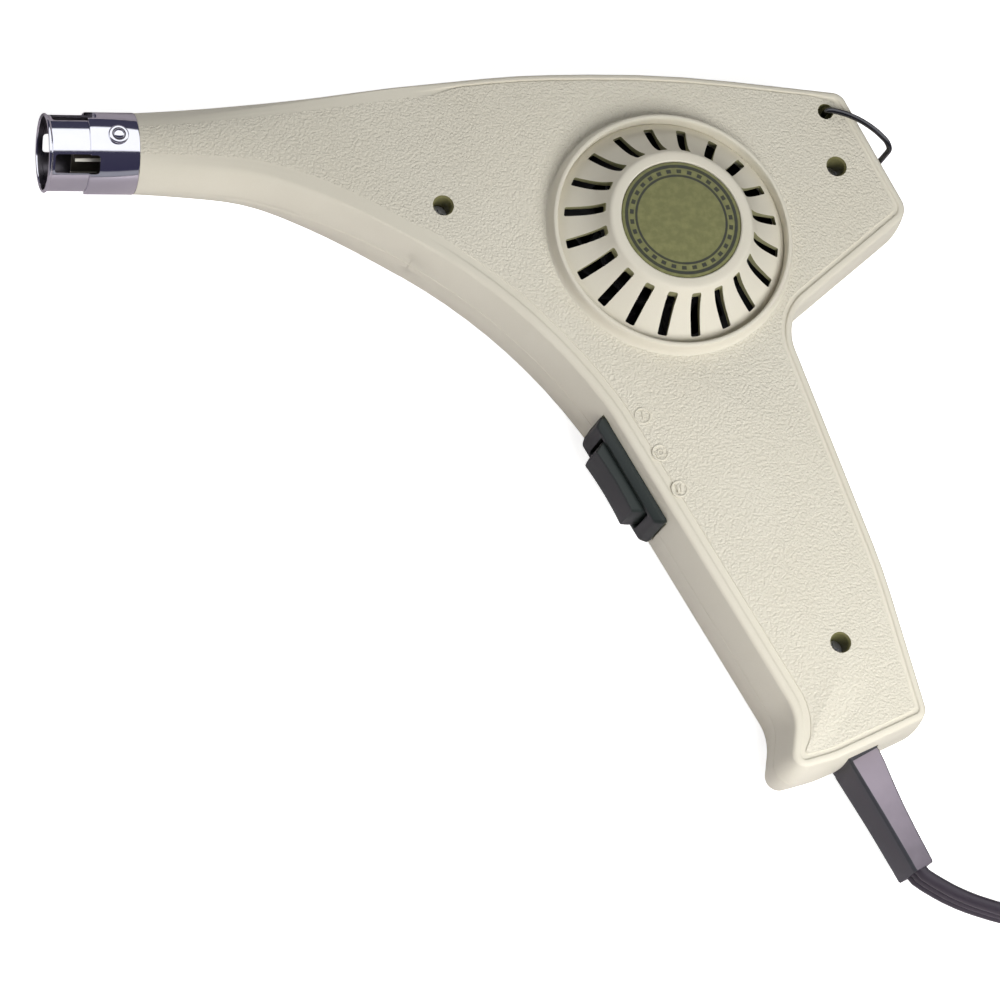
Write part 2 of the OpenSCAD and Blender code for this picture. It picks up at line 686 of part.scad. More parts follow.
module rectifier_board() {
    color("#3F6B46") at_fan() {
        difference() {
            translate([0, 0, board_z]) cylinder(h = 0.8, r = 11);
            translate([0, 0, board_z - 1]) cylinder(h = 3, r = 2);
        }
        for (x = [-7.5, 7.5]) block([x - 0.4, x + 0.4], [-1.2, 1.2], [cap_z + 1.5, board_z + eps]);
        for (y = [-6, 6], x = [-4.5, 4.5]) translate([x - 2, y, board_z + 0.8 + 0.9])
            rotate([0, 90, 0]) cylinder(h = 4, r = 1, $fn = 24);
    }
}

// Switch
module switch_housing() {
    color("#2B2F2D") on_grip() difference() {
        union() {
            block([switch_at - bezel_l / 2, switch_at + bezel_l / 2], [-bezel_h, seat_y],
                [-bezel_w / 2, bezel_w / 2]);
            block([switch_at - 13.9, switch_at + 13.9], [seat_y - eps, housing_back - 0.1],
                [-housing_z, housing_z]);
        }
        block([switch_at - well_half, switch_at + well_half], [-5, 9],
            [-rocker_w / 2 - 0.15, rocker_w / 2 + 0.15]);
        translate([switch_at, pivot_y, -housing_z - 1]) cylinder(h = 2 * housing_z + 2, r = 1.25, $fn = 32);
        for (x = terminal_x) block([x - 0.45, x + 0.45], [6, 20], [-2.5, 2.5]);
    }
}
module switch_rocker() {
    top = pivot_y + bezel_h + rocker_h;
    end_a = asin(top / rocker_r);
    dip = 0.5;
    reach = rocker_r * cos(end_a);
    color("#34393A") on_grip() translate([switch_at, pivot_y, 0]) {
        translate([0, 0, -rocker_w / 2]) linear_extrude(rocker_w) polygon(concat(
            [for (k = [0:6]) let (a = 180 - end_a + k * (end_a + 8) / 6) rocker_r * [cos(a), -sin(a)]],
            [[-6, 3], [6, 3]],
            [for (k = [0:6]) let (a = -8 + k * (end_a + 8) / 6) rocker_r * [cos(a), -sin(a)]],
            [for (k = [1:5]) let (x = reach * (1 - k / 3)) [x, -top + dip * (1 - pow(x / reach, 2))]]
        ));
        translate([0, 0, -housing_z]) cylinder(h = 2 * housing_z, r = 1.2, $fn = 32);
    }
}
module contact_plate() {
    color("#C77B3A") on_grip() block([terminal_x[0] - 1, terminal_x[2] + 1], [6, 6.8], [-2.2, 2.2]);
}
module switch_terminals() {
    color("#C9A869") on_grip() for (x = terminal_x)
        block([x - 0.4, x + 0.4], [6.8, housing_back + 6], [-2.4, 2.4]);
}

// Fasteners, bail and clamp
module shell_screws() {
    color("#B5B7BA") for (p = screw_at) translate([p[0], p[1], 0]) difference() {
        union() {
            translate([0, 0, -inner_z + 1.6]) cylinder(h = inner_z + head_low - 1.6, r = screw_r);
            translate([0, 0, head_low]) cylinder(h = 1.6, r = screw_head_r);
        }
        for (a = [0, 90]) rotate([0, 0, a]) translate([-1.5, -0.3, head_low + 0.8]) cube([3, 0.6, 2]);
    }
}
bow_r = 22;
bow_a = 2 * asin(bail_reach / 2 / bow_r);
bend_r = 3;
root_r = 1.5;
bow_sweep = bow_a - 2 * asin((bend_r + root_r) / 2 / bow_r) - 0.6;
module bail_bend(r) { rotate_extrude(angle = 90, $fn = 48) translate([r, 0]) circle(r = wire_d / 2, $fn = 24); }
module bail_side() {
    r = wire_d / 2;
    translate([0, 0, side_z - bail_leg]) cylinder(h = bail_z - root_r - side_z + bail_leg, r = r, $fn = 24);
    translate([0, 0, bail_z]) rotate([0, 0, bow_a / 2]) {
        translate([root_r, 0, -root_r]) rotate([90, 0, 0]) rotate([0, 0, 90]) bail_bend(root_r);
        translate([root_r, -bow_r, 0]) {
            rotate([0, 0, 90 - bow_sweep]) rotate_extrude(angle = bow_sweep, $fn = 96)
                translate([bow_r, 0]) circle(r = r, $fn = 24);
            rotate([0, 0, -bow_sweep]) {
                translate([0, bow_r, -bend_r]) rotate([90, 0, 0]) bail_bend(bend_r);
                translate([bend_r, bow_r, -bail_z]) cylinder(h = bail_z - bend_r, r = r, $fn = 24);
            }
        }
    }
}
module hanging_bail() {
    color("#C4C6C9") translate([bail_at[0], bail_at[1], 0]) rotate([0, 0, -bail_rest]) {
        bail_side();
        mirror([0, 0, 1]) bail_side();
    }
}
module cord_clamp() {
    color("#2B2F2D") on_grip() difference() {
        block([clamp_x - 3, clamp_x + 3], [relief_y - clamp_half, relief_y + clamp_half],
            [-cord_w / 2 + 1.05, cord_w / 2 + 1.5]);
        block([clamp_x - 4, clamp_x + 4], [relief_y - cord_t / 2 - fit, relief_y + cord_t / 2 + fit],
            [-cord_w, cord_w / 2 + fit]);
        for (s = [-1, 1]) translate([clamp_x, relief_y + s * (clamp_half - 3), -20]) cylinder(h = 40, r = 1.3);
    }
}
module clamp_screws() {
    color("#B5B7BA") on_grip() for (s = [-1, 1]) translate([clamp_x, relief_y + s * (clamp_half - 3), 0]) {
        translate([0, 0, -inner_z + 1.2]) cylinder(h = inner_z + cord_w / 2 + 1.5 - 1.2, r = 1.1);
        translate([0, 0, cord_w / 2 + 1.5]) cylinder(h = 1.4, r = 2.2);
    }
}

// Wires inside, as hand-set points: mains wires in the grip's frame, the rest in the tool's frame
module mains_leads() {
    flat = [[-cord_t / 2, cord_w / 2 - 1], [0, cord_w / 2], [cord_t / 2, cord_w / 2 - 1],
        [cord_t / 2, 1 - cord_w / 2], [0, -cord_w / 2], [-cord_t / 2, 1 - cord_w / 2]];
    split = clamp_x - 8;
    color("#3A3A3C") on_grip() {
        flat_tube([[relief_x - 1, relief_y, 0], [clamp_x + 4, relief_y, 0], [split, relief_y, 0]], flat);
        wire_tube([[split + 0.5, relief_y, 3], [split - 14, relief_y + 2, 4], [52, 17, 4], [38, 21, 2],
            [30, 22, -0.5], [terminal_x[2] + 1.1, housing_back + 4, -1.2]], 0.8, 8);
        wire_tube([[split + 0.5, relief_y, -3], [split - 14, relief_y - 1, -5], [56, 12, -6], [44, 14, -6],
            [32, 21, -7], [22, 27, -7.5], [12, 28, -6], [7, 26, -3],
            [terminal_x[0], housing_back + 5.5, -1.5]], 0.8, 8);
    }
}
function spun(x, p) = concat([x], turned(p, heater_turn));
module heater_leads() {
    low = 1;
    high = low + 2.4;
    color("#E3DFD3") {
        wire_tube([
            concat(on_grip_xy(terminal_x[0], housing_back + 5.5), [1.3]), [fan[0] + 5, -65.5, 1.2],
            [fan[0] + 1, -61.8, low],
            [fan[0] - 8, -58, low], [fan[0] - 24, -50, low], [fan[0] - 40, -33, low],
            [fan[0] - 51, -16, low],
            [join_x + 6, -9.5, low], [join_x - 4, -6, low], spun(former_end + 4, [-4.8, -0.6]),
            spun(former_end - 1, [-4, -1.25]), spun(former_end - 6, [-4, -1.25])
        ], 0.8, 8);
        wire_tube([
            concat(on_grip_xy(terminal_x[1], housing_back + 5.5), [-1.4]), [fan[0] + 10.5, -72.5, 1],
            [fan[0] + 10, -66.5, high],
            [fan[0] + 3, -60.6, high], [fan[0] - 8, -58, high], [fan[0] - 24, -50, high],
            [fan[0] - 40, -33, high], [fan[0] - 51, -16, high], [join_x + 6, -9.5, high], [join_x - 4, -6, high],
            spun(former_end + 5, [-1, 2.6]), spun(former_end + 1.5, [0, 2]), spun(former_end - 0.48, [0, 2])
        ], 0.8, 8);
    }
}
module motor_leads() {
    color("#2B2B2D") {
        wire_tube([
            concat(fan + [3, -9], [board_z + 1.45]), concat(fan + [3, -13], [board_z + 1.3]),
            concat(fan + [3, -16], [board_z - 2]),
            concat(fan + [3, -17], [8]), concat(fan + [3, -20], [6.5]), [fan[0] + 3, -55.5, 6.5],
            [fan[0] + 6, -62, 6.5], [fan[0] + 14, -71, 5.5], [fan[0] + 15.5, -80, 3.5],
            concat(on_grip_xy(terminal_x[2], housing_back + 5.5), [1.4])
        ], 0.7, 8);
        wire_tube([
            concat(fan + [-3, -9], [board_z + 1.45]), concat(fan + [-3, -13], [board_z + 1.3]),
            concat(fan + [-3, -16], [board_z - 2]),
            concat(fan + [-3, -17], [8]), concat(fan + [-3, -20], [6.5]), [fan[0] - 1, -55.5, 6.5],
            [fan[0] + 1, -63, 6.5], [fan[0] + 6, -68.5, 6.3], [fan[0] + 9.5, -73.2, 4.5],
            concat(on_grip_xy(terminal_x[1], housing_back + 5.5), [1.5])
        ], 0.7, 8);
    }
}

// Strain relief: collar inside the wall, tapered sleeve outside
relief_drop = 2;
relief_bow = 0.6;
module strain_relief() {
    a = relief_half[0];
    b = relief_half[1];
    steps = [[0, 1, 0, 0], [0.12, 0.96, 0, 0.2], [0.4, 0.8, 0.15, 1], [0.7, 0.73, 0.55, 1.15], [1, 0.7, 1, 1]];
    color("#2E3236") on_grip() difference() {
        union() {
            block([relief_x - 6.6, relief_x - 4.5], [relief_y - a - 1.6, relief_y + a + 1.6], [-b - 1.6, b + 1.6]);
            block([relief_x - 4.6, relief_x + eps], [relief_y - a, relief_y + a], [-b, b]);
            loft([for (s = steps) each
                let (x = relief_x + s[0] * relief_l, h = a * s[1], w = b * (0.75 + 0.25 * s[1]),
                    y = relief_y - relief_bow * s[3], z = -relief_drop * s[2], c = 0.8)
                    [[x, y - h + c, z - w], [x, y + h - c, z - w], [x, y + h, z - w + c],
                    [x, y + h, z + w - c], [x, y + h - c, z + w], [x, y - h + c, z + w],
                    [x, y - h, z + w - c], [x, y - h, z - w + c]]], len(steps), 8);
        }
        block([relief_x - 8, relief_x - 1], [relief_y - cord_t / 2 - fit, relief_y + cord_t / 2 + fit],
            [-cord_w / 2 - fit, cord_w / 2 + fit]);
    }
}

// Free cord: it stands on its edge, sinks to the floor and joins the coil. [x, y, height of its middle]
cord_end = on_grip_xy(relief_x + relief_l, relief_y - relief_bow);
coil_height = cord_w / 2 + 0.9;
coil_lead = cord_w + 0.5;
cord_route = [
    [cord_end[0], cord_end[1], floor_z - relief_drop],
    [cord_end[0] + 0.6 * grip_down[0], cord_end[1] + 0.6 * grip_down[1], floor_z - relief_drop],
    [210.6, -192.4, 13.5], [213.1, -194.3, 13.3], [217.9, -196.3, 12.6], [222.6, -198.4, 11.8],
    [227.3, -199.9, 10.9], [232, -201.1, 10], [238, -202.3, 9], [246, -203.5, 8], [255, -204.5, 7.2],
    [265, -205.2, 6.5], [276, -205.7, 6], [285, -205.9, 5.7], [291, -206, coil_height], [305 - coil_lead, -206, coil_height]
];
cord_section = [[-cord_t / 2, cord_w / 2 - 1.1], [-cord_t / 4, cord_w / 2 - 0.1], [cord_t / 4, cord_w / 2 - 0.1],
    [cord_t / 2, cord_w / 2 - 1.1], [cord_t / 2, 1.1 - cord_w / 2], [cord_t / 4, 0.1 - cord_w / 2],
    [-cord_t / 4, 0.1 - cord_w / 2], [-cord_t / 2, 1.1 - cord_w / 2]];
module cord() { color("#2F2B30") flat_tube([for (p = cord_route) [p[0], p[1], p[2] - floor_z]], cord_section); }

// Put-away coil: it spirals in on the lower layer and out again on the upper one
coil_turns = 5.25;
coil_pitch = cord_t + 0.6;
coil_out_r = coil_r + coil_pitch * coil_turns / 4;
coil_at = [305, -206 + coil_out_r];
coil_rings = 24;
layer_step = cord_w + 0.6;
function eased(t) = let (s = max(0, min(1, t))) s * s * (3 - 2 * s);
function coil_point(n) = let (
        from_mid = abs(n - coil_turns / 2),
        dip = from_mid < 0.5 ? 2.6 * pow(cos(180 * from_mid), 2) : 0,
        r = coil_out_r - coil_pitch * (coil_turns / 2 - from_mid) - dip,
        a = -90 + 360 * n
    )
    concat(coil_at + r * [cos(a), sin(a)], [coil_height + layer_step * eased(2 * (n - coil_turns / 2) + 0.5)]);
plug_height = plug_w / 2;
plug_start = 25;
coil_line = concat(
    [for (lead = [coil_lead, coil_lead / 2]) [coil_at[0] - lead, coil_at[1] - coil_out_r, coil_height]],
    [for (k = [0:coil_turns * coil_rings]) coil_point(k / coil_rings)],
    [for (t = [[7, 14.2], [12, 12.9], [15, plug_height], [plug_start, plug_height]])
        [coil_at[0] + coil_out_r, coil_at[1] + t[0], t[1]]]
);
coil_gaps = [
    for (i = [0:2:len(coil_line) - 1], j = [i + 12:1:len(coil_line) - 1])
        let (d = coil_line[i] - coil_line[j], flat = norm([d[0], d[1]]), high = abs(d[2]) - cord_w)
            if (flat < 12) (high > 0 ? norm([max(0, flat - cord_t), high]) : flat - cord_t)
];
echo(cord_coil_least_gap = min(coil_gaps));
module cord_coil() {
    hexagon = [[-cord_t / 2, cord_w / 2 - 1.1], [0, cord_w / 2], [cord_t / 2, cord_w / 2 - 1.1],
        [cord_t / 2, 1.1 - cord_w / 2], [0, -cord_w / 2], [-cord_t / 2, 1.1 - cord_w / 2]];
    color("#2F2B30") flat_tube([for (p = coil_line) [p[0], p[1], p[2] - floor_z]], hexagon);
}
tie_t = 0.6;
module cord_tie() {
    half = coil_pitch * coil_turns / 4 + cord_t / 2 + 0.9;
    high = coil_height + layer_step + cord_w / 2 + 0.3;
    color("#F2F2EE") translate([coil_at[0], coil_at[1], -floor_z]) rotate([0, 0, 225]) difference() {
        block([coil_r - half - tie_t - 0.4, coil_r + half + tie_t], [-3, 3], [0, high + tie_t]);
        block([coil_r - half - 0.4, coil_r + half], [-4, 4], [tie_t, high]);
    }
}

// Plug: it lies on its edge beside the coil, with its pins pointing away
plug_y = coil_at[1] + plug_start;
module plug_body() {
    x0 = coil_at[0] + coil_out_r;
    color("#2E3236") translate([x0, plug_y, plug_height - floor_z]) {
        block([-plug_t / 2, plug_t / 2], [12, plug_l], [-plug_w / 2, plug_w / 2]);
        loft([for (s = [[0, 0.42, 0.52], [3, 0.5, 0.6], [8, 0.72, 0.82], [12 + eps, 0.98, 0.98]]) each
            let (y = s[0], h = plug_t / 2 * s[1], w = plug_w / 2 * s[2], c = 1.2)
                [[-h + c, y, w], [h - c, y, w], [h, y, w - c], [h, y, c - w],
                [h - c, y, -w], [c - h, y, -w], [-h, y, c - w], [-h, y, w - c]]], 4, 8);
    }
}
module plug_pins() {
    x0 = coil_at[0] + coil_out_r;
    color("#C9B27A") translate([x0, plug_y + plug_l, plug_height - floor_z]) {
        for (s = [-1, 1]) block([-3.2, 3.2], [0, 17], [s * 6.35 - 0.75, s * 6.35 + 0.75]);
        translate([-6, 0, 0]) rotate([-90, 0, 0]) cylinder(h = 19, r = 2.4, $fn = 32);
    }
}

// Set the tool on the floor, with the origin under its middle
module place() {
    translate([-(tool_x[0] + tool_x[1]) / 2, -(tool_y[0] + tool_y[1]) / 2, floor_z]) children();
}

place() left_shell();
place() right_shell();
place() intake_grille();
place() hub_plate();
place() nozzle_band();
place() nozzle_button();
place() nozzle_sleeve();
place() heater_shield();
place() mica_liner();
place() mica_former();
place() heater_coil();
place() thermal_cutout();
place() fan_cover();
place() fan_wheel();
place() motor_shaft();
place() motor_can();
place() motor_end_cap();
place() motor_magnets();
place() motor_brushes();
place() motor_bushes();
place() armature_core();
place() armature_winding();
place() commutator();
place() rectifier_board();
place() switch_housing();
place() switch_rocker();
place() contact_plate();
place() switch_terminals();
place() shell_screws();
place() hanging_bail();
place() cord_clamp();
place() clamp_screws();
place() mains_leads();
place() heater_leads();
place() motor_leads();
place() strain_relief();
place() cord();
place() cord_coil();
place() cord_tie();
place() plug_body();
place() plug_pins();
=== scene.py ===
"""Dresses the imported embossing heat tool: shaped pieces, finishes, soft light and the photograph's camera.

Shapes are worked out in millimetres in the tool's own frame, in which X runs back along the barrel from the
nozzle's lip, Y up from the barrel's axis and Z across from the casing's parting plane. Frame.row() turns them
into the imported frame's metres.
"""

from __future__ import annotations

import logging
from dataclasses import dataclass, field
from enum import Enum
from typing import Callable, Iterable, Sequence

import bmesh
import bpy
import numpy as np
from mathutils import Matrix, Vector


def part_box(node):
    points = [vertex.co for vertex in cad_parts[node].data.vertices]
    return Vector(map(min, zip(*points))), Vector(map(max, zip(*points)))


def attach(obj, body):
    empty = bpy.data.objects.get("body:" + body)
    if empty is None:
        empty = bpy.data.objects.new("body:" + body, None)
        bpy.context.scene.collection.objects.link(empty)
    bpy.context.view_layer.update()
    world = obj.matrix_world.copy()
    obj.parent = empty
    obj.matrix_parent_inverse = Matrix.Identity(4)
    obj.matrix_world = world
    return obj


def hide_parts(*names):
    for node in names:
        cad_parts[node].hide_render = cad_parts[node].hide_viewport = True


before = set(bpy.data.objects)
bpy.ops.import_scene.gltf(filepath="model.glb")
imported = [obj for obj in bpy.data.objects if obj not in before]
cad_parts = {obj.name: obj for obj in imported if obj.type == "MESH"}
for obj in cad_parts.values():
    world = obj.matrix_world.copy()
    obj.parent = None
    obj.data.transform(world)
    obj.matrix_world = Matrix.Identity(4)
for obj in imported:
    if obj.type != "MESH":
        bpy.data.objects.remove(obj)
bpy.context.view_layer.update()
log = logging.getLogger("heat_tool")

Array = np.ndarray
Colour = tuple[float, float, float]
Stops = Sequence[tuple[float, float]]


# Places and sizes


@dataclass(frozen=True)
class Frame:
    """Where the tool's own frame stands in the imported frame.

    Attributes:
        origin: The nozzle lip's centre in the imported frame, in metres.
    """

    origin: Array

    @classmethod
    def from_cad(cls) -> "Frame":
        """Finds the lip's centre from the sleeve of the nozzle."""
        low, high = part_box("nozzle_sleeve")
        return cls(np.array([low.x, (low.y + high.y) / 2, (low.z + high.z) / 2]))

    def row(self, points: Array) -> Array:
        """Tool millimetres to packed metres."""
        return np.asarray(points, float) / 1000 + self.origin


@dataclass(frozen=True)
class Grip:
    """The grip's frame: along runs down the grip, across towards its back.

    Attributes:
        start: Top of the switch's side of the grip.
        lean: Lean from upright, in degrees.
    """

    start: tuple[float, float] = (137.68, -73.35)
    lean: float = 26.0

    def ways(self) -> tuple[Array, Array]:
        """Unit vectors down the grip and towards its back."""
        a = np.radians(self.lean)
        return np.array([np.sin(a), -np.cos(a)]), np.array([np.cos(a), np.sin(a)])

    def xy(self, along: Array | float, across: Array | float) -> Array:
        """Points of the side plane from places along and across the grip.

        Args:
            along: Places along the grip.
            across: Places across it.

        Returns:
            Points x, y in the last axis: start plus along times down plus across times back.
        """
        down, back = self.ways()
        along, across = np.broadcast_arrays(np.asarray(along, float), np.asarray(across, float))
        return np.array(self.start) + along[..., None] * down + across[..., None] * back

    def solid(self, along: Array | float, across: Array | float, z: Array | float) -> Array:
        """Tool points from places along and across the grip and a height z."""
        along, across, z = np.broadcast_arrays(along, across, z)
        return np.concatenate([self.xy(along, across), z[..., None]], axis=-1)

    def places(self, xy: Array) -> tuple[Array, Array]:
        """Places along and across the grip of points of the side plane."""
        down, back = self.ways()
        return (xy - np.array(self.start)) @ down, (xy - np.array(self.start)) @ back


# The fan's axis in X and Y, the heights of the flat side and of the round foot, the place of the switch along
# the grip, the place of the strain relief across and along it, and the bail's pivot in X and Y.
FAN = np.array([158.2, -25.5])
GRIP = Grip()
SIDE_Z = 12.0
FOOT_Z = 15.6
SWITCH_ALONG = 15.0
RELIEF_ACROSS = 13.3
RELIEF_START = 105.5
RELIEF_LENGTH = 31.4
BAIL_PIVOT = (204.2, 9.0)
PLACE = Frame.from_cad()


# Shapes and meshes


class Axis(Enum):
    """Axes that a profile is turned round."""

    X = "along the barrel"
    Z = "square to the casing's side"


class Joining(Enum):
    """Ways to combine two solids."""

    CUT = "DIFFERENCE"
    WELD = "UNION"


def smoothstep(t: Array | float) -> Array:
    """0 below 0, 1 above 1, and three t squared less two t cubed between."""
    t = np.clip(t, 0.0, 1.0)
    return t * t * (3 - 2 * t)


def grid_faces(rows: int, cols: int, wrap: bool = True) -> Array:
    """Quads of a grid whose points are listed row by row.

    Args:
        rows: Number of rows.
        cols: Number of points in each row.
        wrap: Whether each row closes on itself.

    Returns:
        An array of four point numbers a face.
    """
    i, j = np.meshgrid(np.arange(rows - 1), np.arange(cols if wrap else cols - 1), indexing="ij")
    here, beside = i * cols + j, i * cols + (j + 1) % cols
    return np.stack([here, beside, beside + cols, here + cols], axis=-1).reshape(-1, 4)


@dataclass
class Shape:
    """Points in tool millimetres, and faces as lists of point numbers with a finish number each."""

    points: list[Array] = field(default_factory=list)
    faces: list[list[int]] = field(default_factory=list)
    finish: list[int] = field(default_factory=list)
    count: int = 0

    def fill(self, faces: Iterable[Sequence[int]], finish: int = 0) -> "Shape":
        """Adds faces on points that are there already.

        Args:
            faces: Lists of point numbers.
            finish: Their finish number.

        Returns:
            The shape itself.
        """
        new = [[int(i) for i in face] for face in faces]
        self.faces += new
        self.finish += [finish] * len(new)
        return self

    def add(self, points: Array, faces: Iterable[Sequence[int]], finish: int = 0) -> "Shape":
        """Adds a patch of points and its faces, whose numbers start at the patch's first point.

        Args:
            points: The patch's points.
            faces: Lists of point numbers.
            finish: Their finish number.

        Returns:
            The shape itself.
        """
        self.fill(([i + self.count for i in face] for face in faces), finish)
        self.points.append(np.asarray(points, float).reshape(-1, 3))
        self.count += len(self.points[-1])
        return self

    def tube(self, rings: Array, closed: bool = False) -> "Shape":
        """Adds a solid through rings of equal point count.

        Args:
            rings: Points, ring by ring.
            closed: Whether the last ring joins the first. Otherwise both ends are filled.

        Returns:
            The shape itself.
        """
        rows, cols = rings.shape[:2]
        last = (rows - 1) * cols
        faces = grid_faces(rows, cols).tolist()
        if closed:
            faces += (grid_faces(2, cols) + np.where(np.arange(4) < 2, last, -cols)).tolist()
        else:
            faces += [list(range(cols))[::-1], list(range(last, last + cols))]
        return self.add(rings, faces)

    def repaint(self, first: int, last: int, finish: int) -> "Shape":
        """Gives the faces from first to before last another finish."""
        self.finish[first:last] = [finish] * (last - first)
        return self


def circle(radius: float, steps: int) -> Array:
    """Points round a circle."""
    t = np.linspace(0, 2 * np.pi, steps, endpoint=False)
    return radius * np.stack([np.cos(t), np.sin(t)], axis=-1)


def turn(angle: float) -> Array:
    """The matrix that turns rows of (x, y) by an angle in radians."""
    return np.array([[np.cos(angle), np.sin(angle)], [-np.sin(angle), np.cos(angle)]])


def at_height(xy: Array, z: float) -> Array:
    """Points of an outline at one height."""
    return np.concatenate([xy, np.full((len(xy), 1), z)], axis=-1)


def rounded_box(half_x: float, half_y: float, radius: float, steps: int = 6) -> Array:
    """Outline of a rectangle with round corners, counter-clockwise: a quarter circle at each corner.

    Args:
        half_x: Half its width.
        half_y: Half its height.
        radius: Radius of the corners.
        steps: Steps round each corner.

    Returns:
        Points x, y.
    """
    t = np.linspace(0, np.pi / 2, steps + 1)
    corner = np.stack([np.cos(t), np.sin(t)], axis=-1) * radius
    parts = []
    for c, s, side_x, side_y in ((1, 0, 1, 1), (0, 1, -1, 1), (-1, 0, -1, -1), (0, -1, 1, -1)):
        middle = np.array([side_x * (half_x - radius), side_y * (half_y - radius)])
        parts.append(corner @ np.array([[c, s], [-s, c]]) + middle)
    return np.concatenate(parts)


def lathe(profile: Array, centre: Sequence[float], axis: Axis = Axis.Z, steps: int = 96) -> Array:
    """Rings of a profile turned round an axis.

    Each ring goes through centre + radius (cos t, sin t) at its height, with t over a full turn.

    Args:
        profile: Pairs of radius and height along the axis.
        centre: Point on the axis at height 0.
        axis: The axis.
        steps: Points in each ring.

    Returns:
        Points, ring by ring.
    """
    t = np.linspace(0, 2 * np.pi, steps, endpoint=False)
    r, h = profile[:, :1], profile[:, 1:] + 0 * t
    a, b = r * np.cos(t), r * np.sin(t)
    order = {Axis.Z: (a, b, h), Axis.X: (h, a, b)}[axis]
    return np.stack(order, axis=-1) + np.asarray(centre, float)


def cylinder(
    radius: float, low: float, high: float, at: Sequence[float] = (0, 0), axis: Axis = Axis.Z, steps: int = 48
) -> Array:
    """Rings of a plain cylinder between two heights along an axis through (x, y)."""
    return lathe(np.array([[radius, low], [radius, high]]), (*at, 0), axis, steps)


def block(low: Sequence[float], high: Sequence[float], where: Callable[..., Array]) -> Shape:
    """A box between two corners, with its points put in place by a function.

    Args:
        low: Its lowest corner.
        high: Its highest corner.
        where: Turns the three coordinates into tool points.

    Returns:
        The box.
    """
    corners = np.meshgrid(*(np.array(pair) for pair in zip(low, high)), indexing="ij")
    faces = [[0, 1, 3, 2], [4, 6, 7, 5], [0, 4, 5, 1], [2, 3, 7, 6], [0, 2, 6, 4], [1, 5, 7, 3]]
    return Shape().add(where(*corners), faces)


def sweep(path: Array, section: Array, up: Sequence[float] = (0, 0, 1)) -> Array:
    """Rings of a section carried along a path.

    Each ring is the path's point + section x times side + section y times upright, where side is up crossed
    with the path's run and upright is the run crossed with side.

    Args:
        path: Points of the path.
        section: Points x, y of the section.
        up: Direction that upright stays close to.

    Returns:
        Points, ring by ring.
    """
    run = np.gradient(path, axis=0)
    run /= np.linalg.norm(run, axis=1, keepdims=True)
    side = np.cross(np.asarray(up, float), run)
    side /= np.linalg.norm(side, axis=1, keepdims=True)
    return path[:, None] + section[:, :1] * side[:, None] + section[:, 1:] * np.cross(run, side)[:, None]


def smooth_path(points: Array, step: float) -> Array:
    """Evenly spaced points on a smooth curve through given points.

    Between two points it is the cubic whose slope at each point is half the way between its neighbours.

    Args:
        points: The points to pass through.
        step: Distance between the new points.

    Returns:
        The new points.
    """
    p = np.concatenate([[2 * points[0] - points[1]], points, [2 * points[-1] - points[-2]]])
    t = np.linspace(0, 1, 16, endpoint=False)[:, None, None]
    a, b, c, d = p[:-3], p[1:-2], p[2:-1], p[3:]
    square, cube = 2 * a - 5 * b + 4 * c - d, 3 * b - a - 3 * c + d
    curve = 0.5 * (2 * b + (c - a) * t + square * t**2 + cube * t**3)
    line = np.concatenate([curve.transpose(1, 0, 2).reshape(-1, points.shape[1]), points[-1:]])
    run = np.concatenate([[0], np.cumsum(np.linalg.norm(np.diff(line, axis=0), axis=1))])
    at = np.linspace(0, run[-1], max(3, int(round(run[-1] / step)) + 1))
    return np.stack([np.interp(at, run, column) for column in line.T], axis=-1)


def shade(mesh: bpy.types.Mesh, sharp: float) -> None:
    """Shades a mesh smooth, with edges sharp by angle.

    Faces of over 25 square millimetres are plain flats and stay flat.

    Args:
        mesh: The mesh, changed in place.
        sharp: Edges that turn by more than this many degrees stay sharp.
    """
    flat_area = 25e-6
    area = np.empty(len(mesh.polygons))
    mesh.polygons.foreach_get("area", area)
    mesh.polygons.foreach_set("use_smooth", area < flat_area)
    mesh.set_sharp_from_angle(angle=float(np.radians(sharp)))


def make(name: str, shape: Shape, finishes: Iterable[bpy.types.Material], sharp: float) -> bpy.types.Object:
    """Makes a mesh object from a shape, in packed metres.

    Args:
        name: The object's name.
        shape: Its points and faces.
        finishes: Materials, in the order of the faces' finish numbers.
        sharp: Edges that turn by more than this many degrees stay sharp.

    Returns:
        The new object, at the origin.
    """
    mesh = bpy.data.meshes.new(name)
    mesh.from_pydata(PLACE.row(np.concatenate(shape.points)).tolist(), [], shape.faces)
    for material in finishes:
        mesh.materials.append(material)
    mesh.polygons.foreach_set("material_index", shape.finish)
    mesh.update()
    shade(mesh, sharp)
    piece = bpy.data.objects.new(name, mesh)
    bpy.context.scene.collection.objects.link(piece)
    return piece


def solid(
    name: str, shape: Shape, palette: "Palette", *finishes: str, sharp: float = 35.0
) -> bpy.types.Object:
    """Makes a closed piece from a shape and turns every face of it outwards.

    Args:
        name: The piece's name.
        shape: Its points and faces.
        palette: The finishes.
        *finishes: Names of its finishes, in the order of the faces' finish numbers.
        sharp: Edges that turn by more than this many degrees stay sharp.

    Returns:
        The piece.
    """
    piece = make(name, shape, [palette[finish] for finish in finishes], sharp)
    work = bmesh.new()
    work.from_mesh(piece.data)
    bmesh.ops.recalc_face_normals(work, faces=work.faces)
    work.to_mesh(piece.data)
    work.free()
    return piece


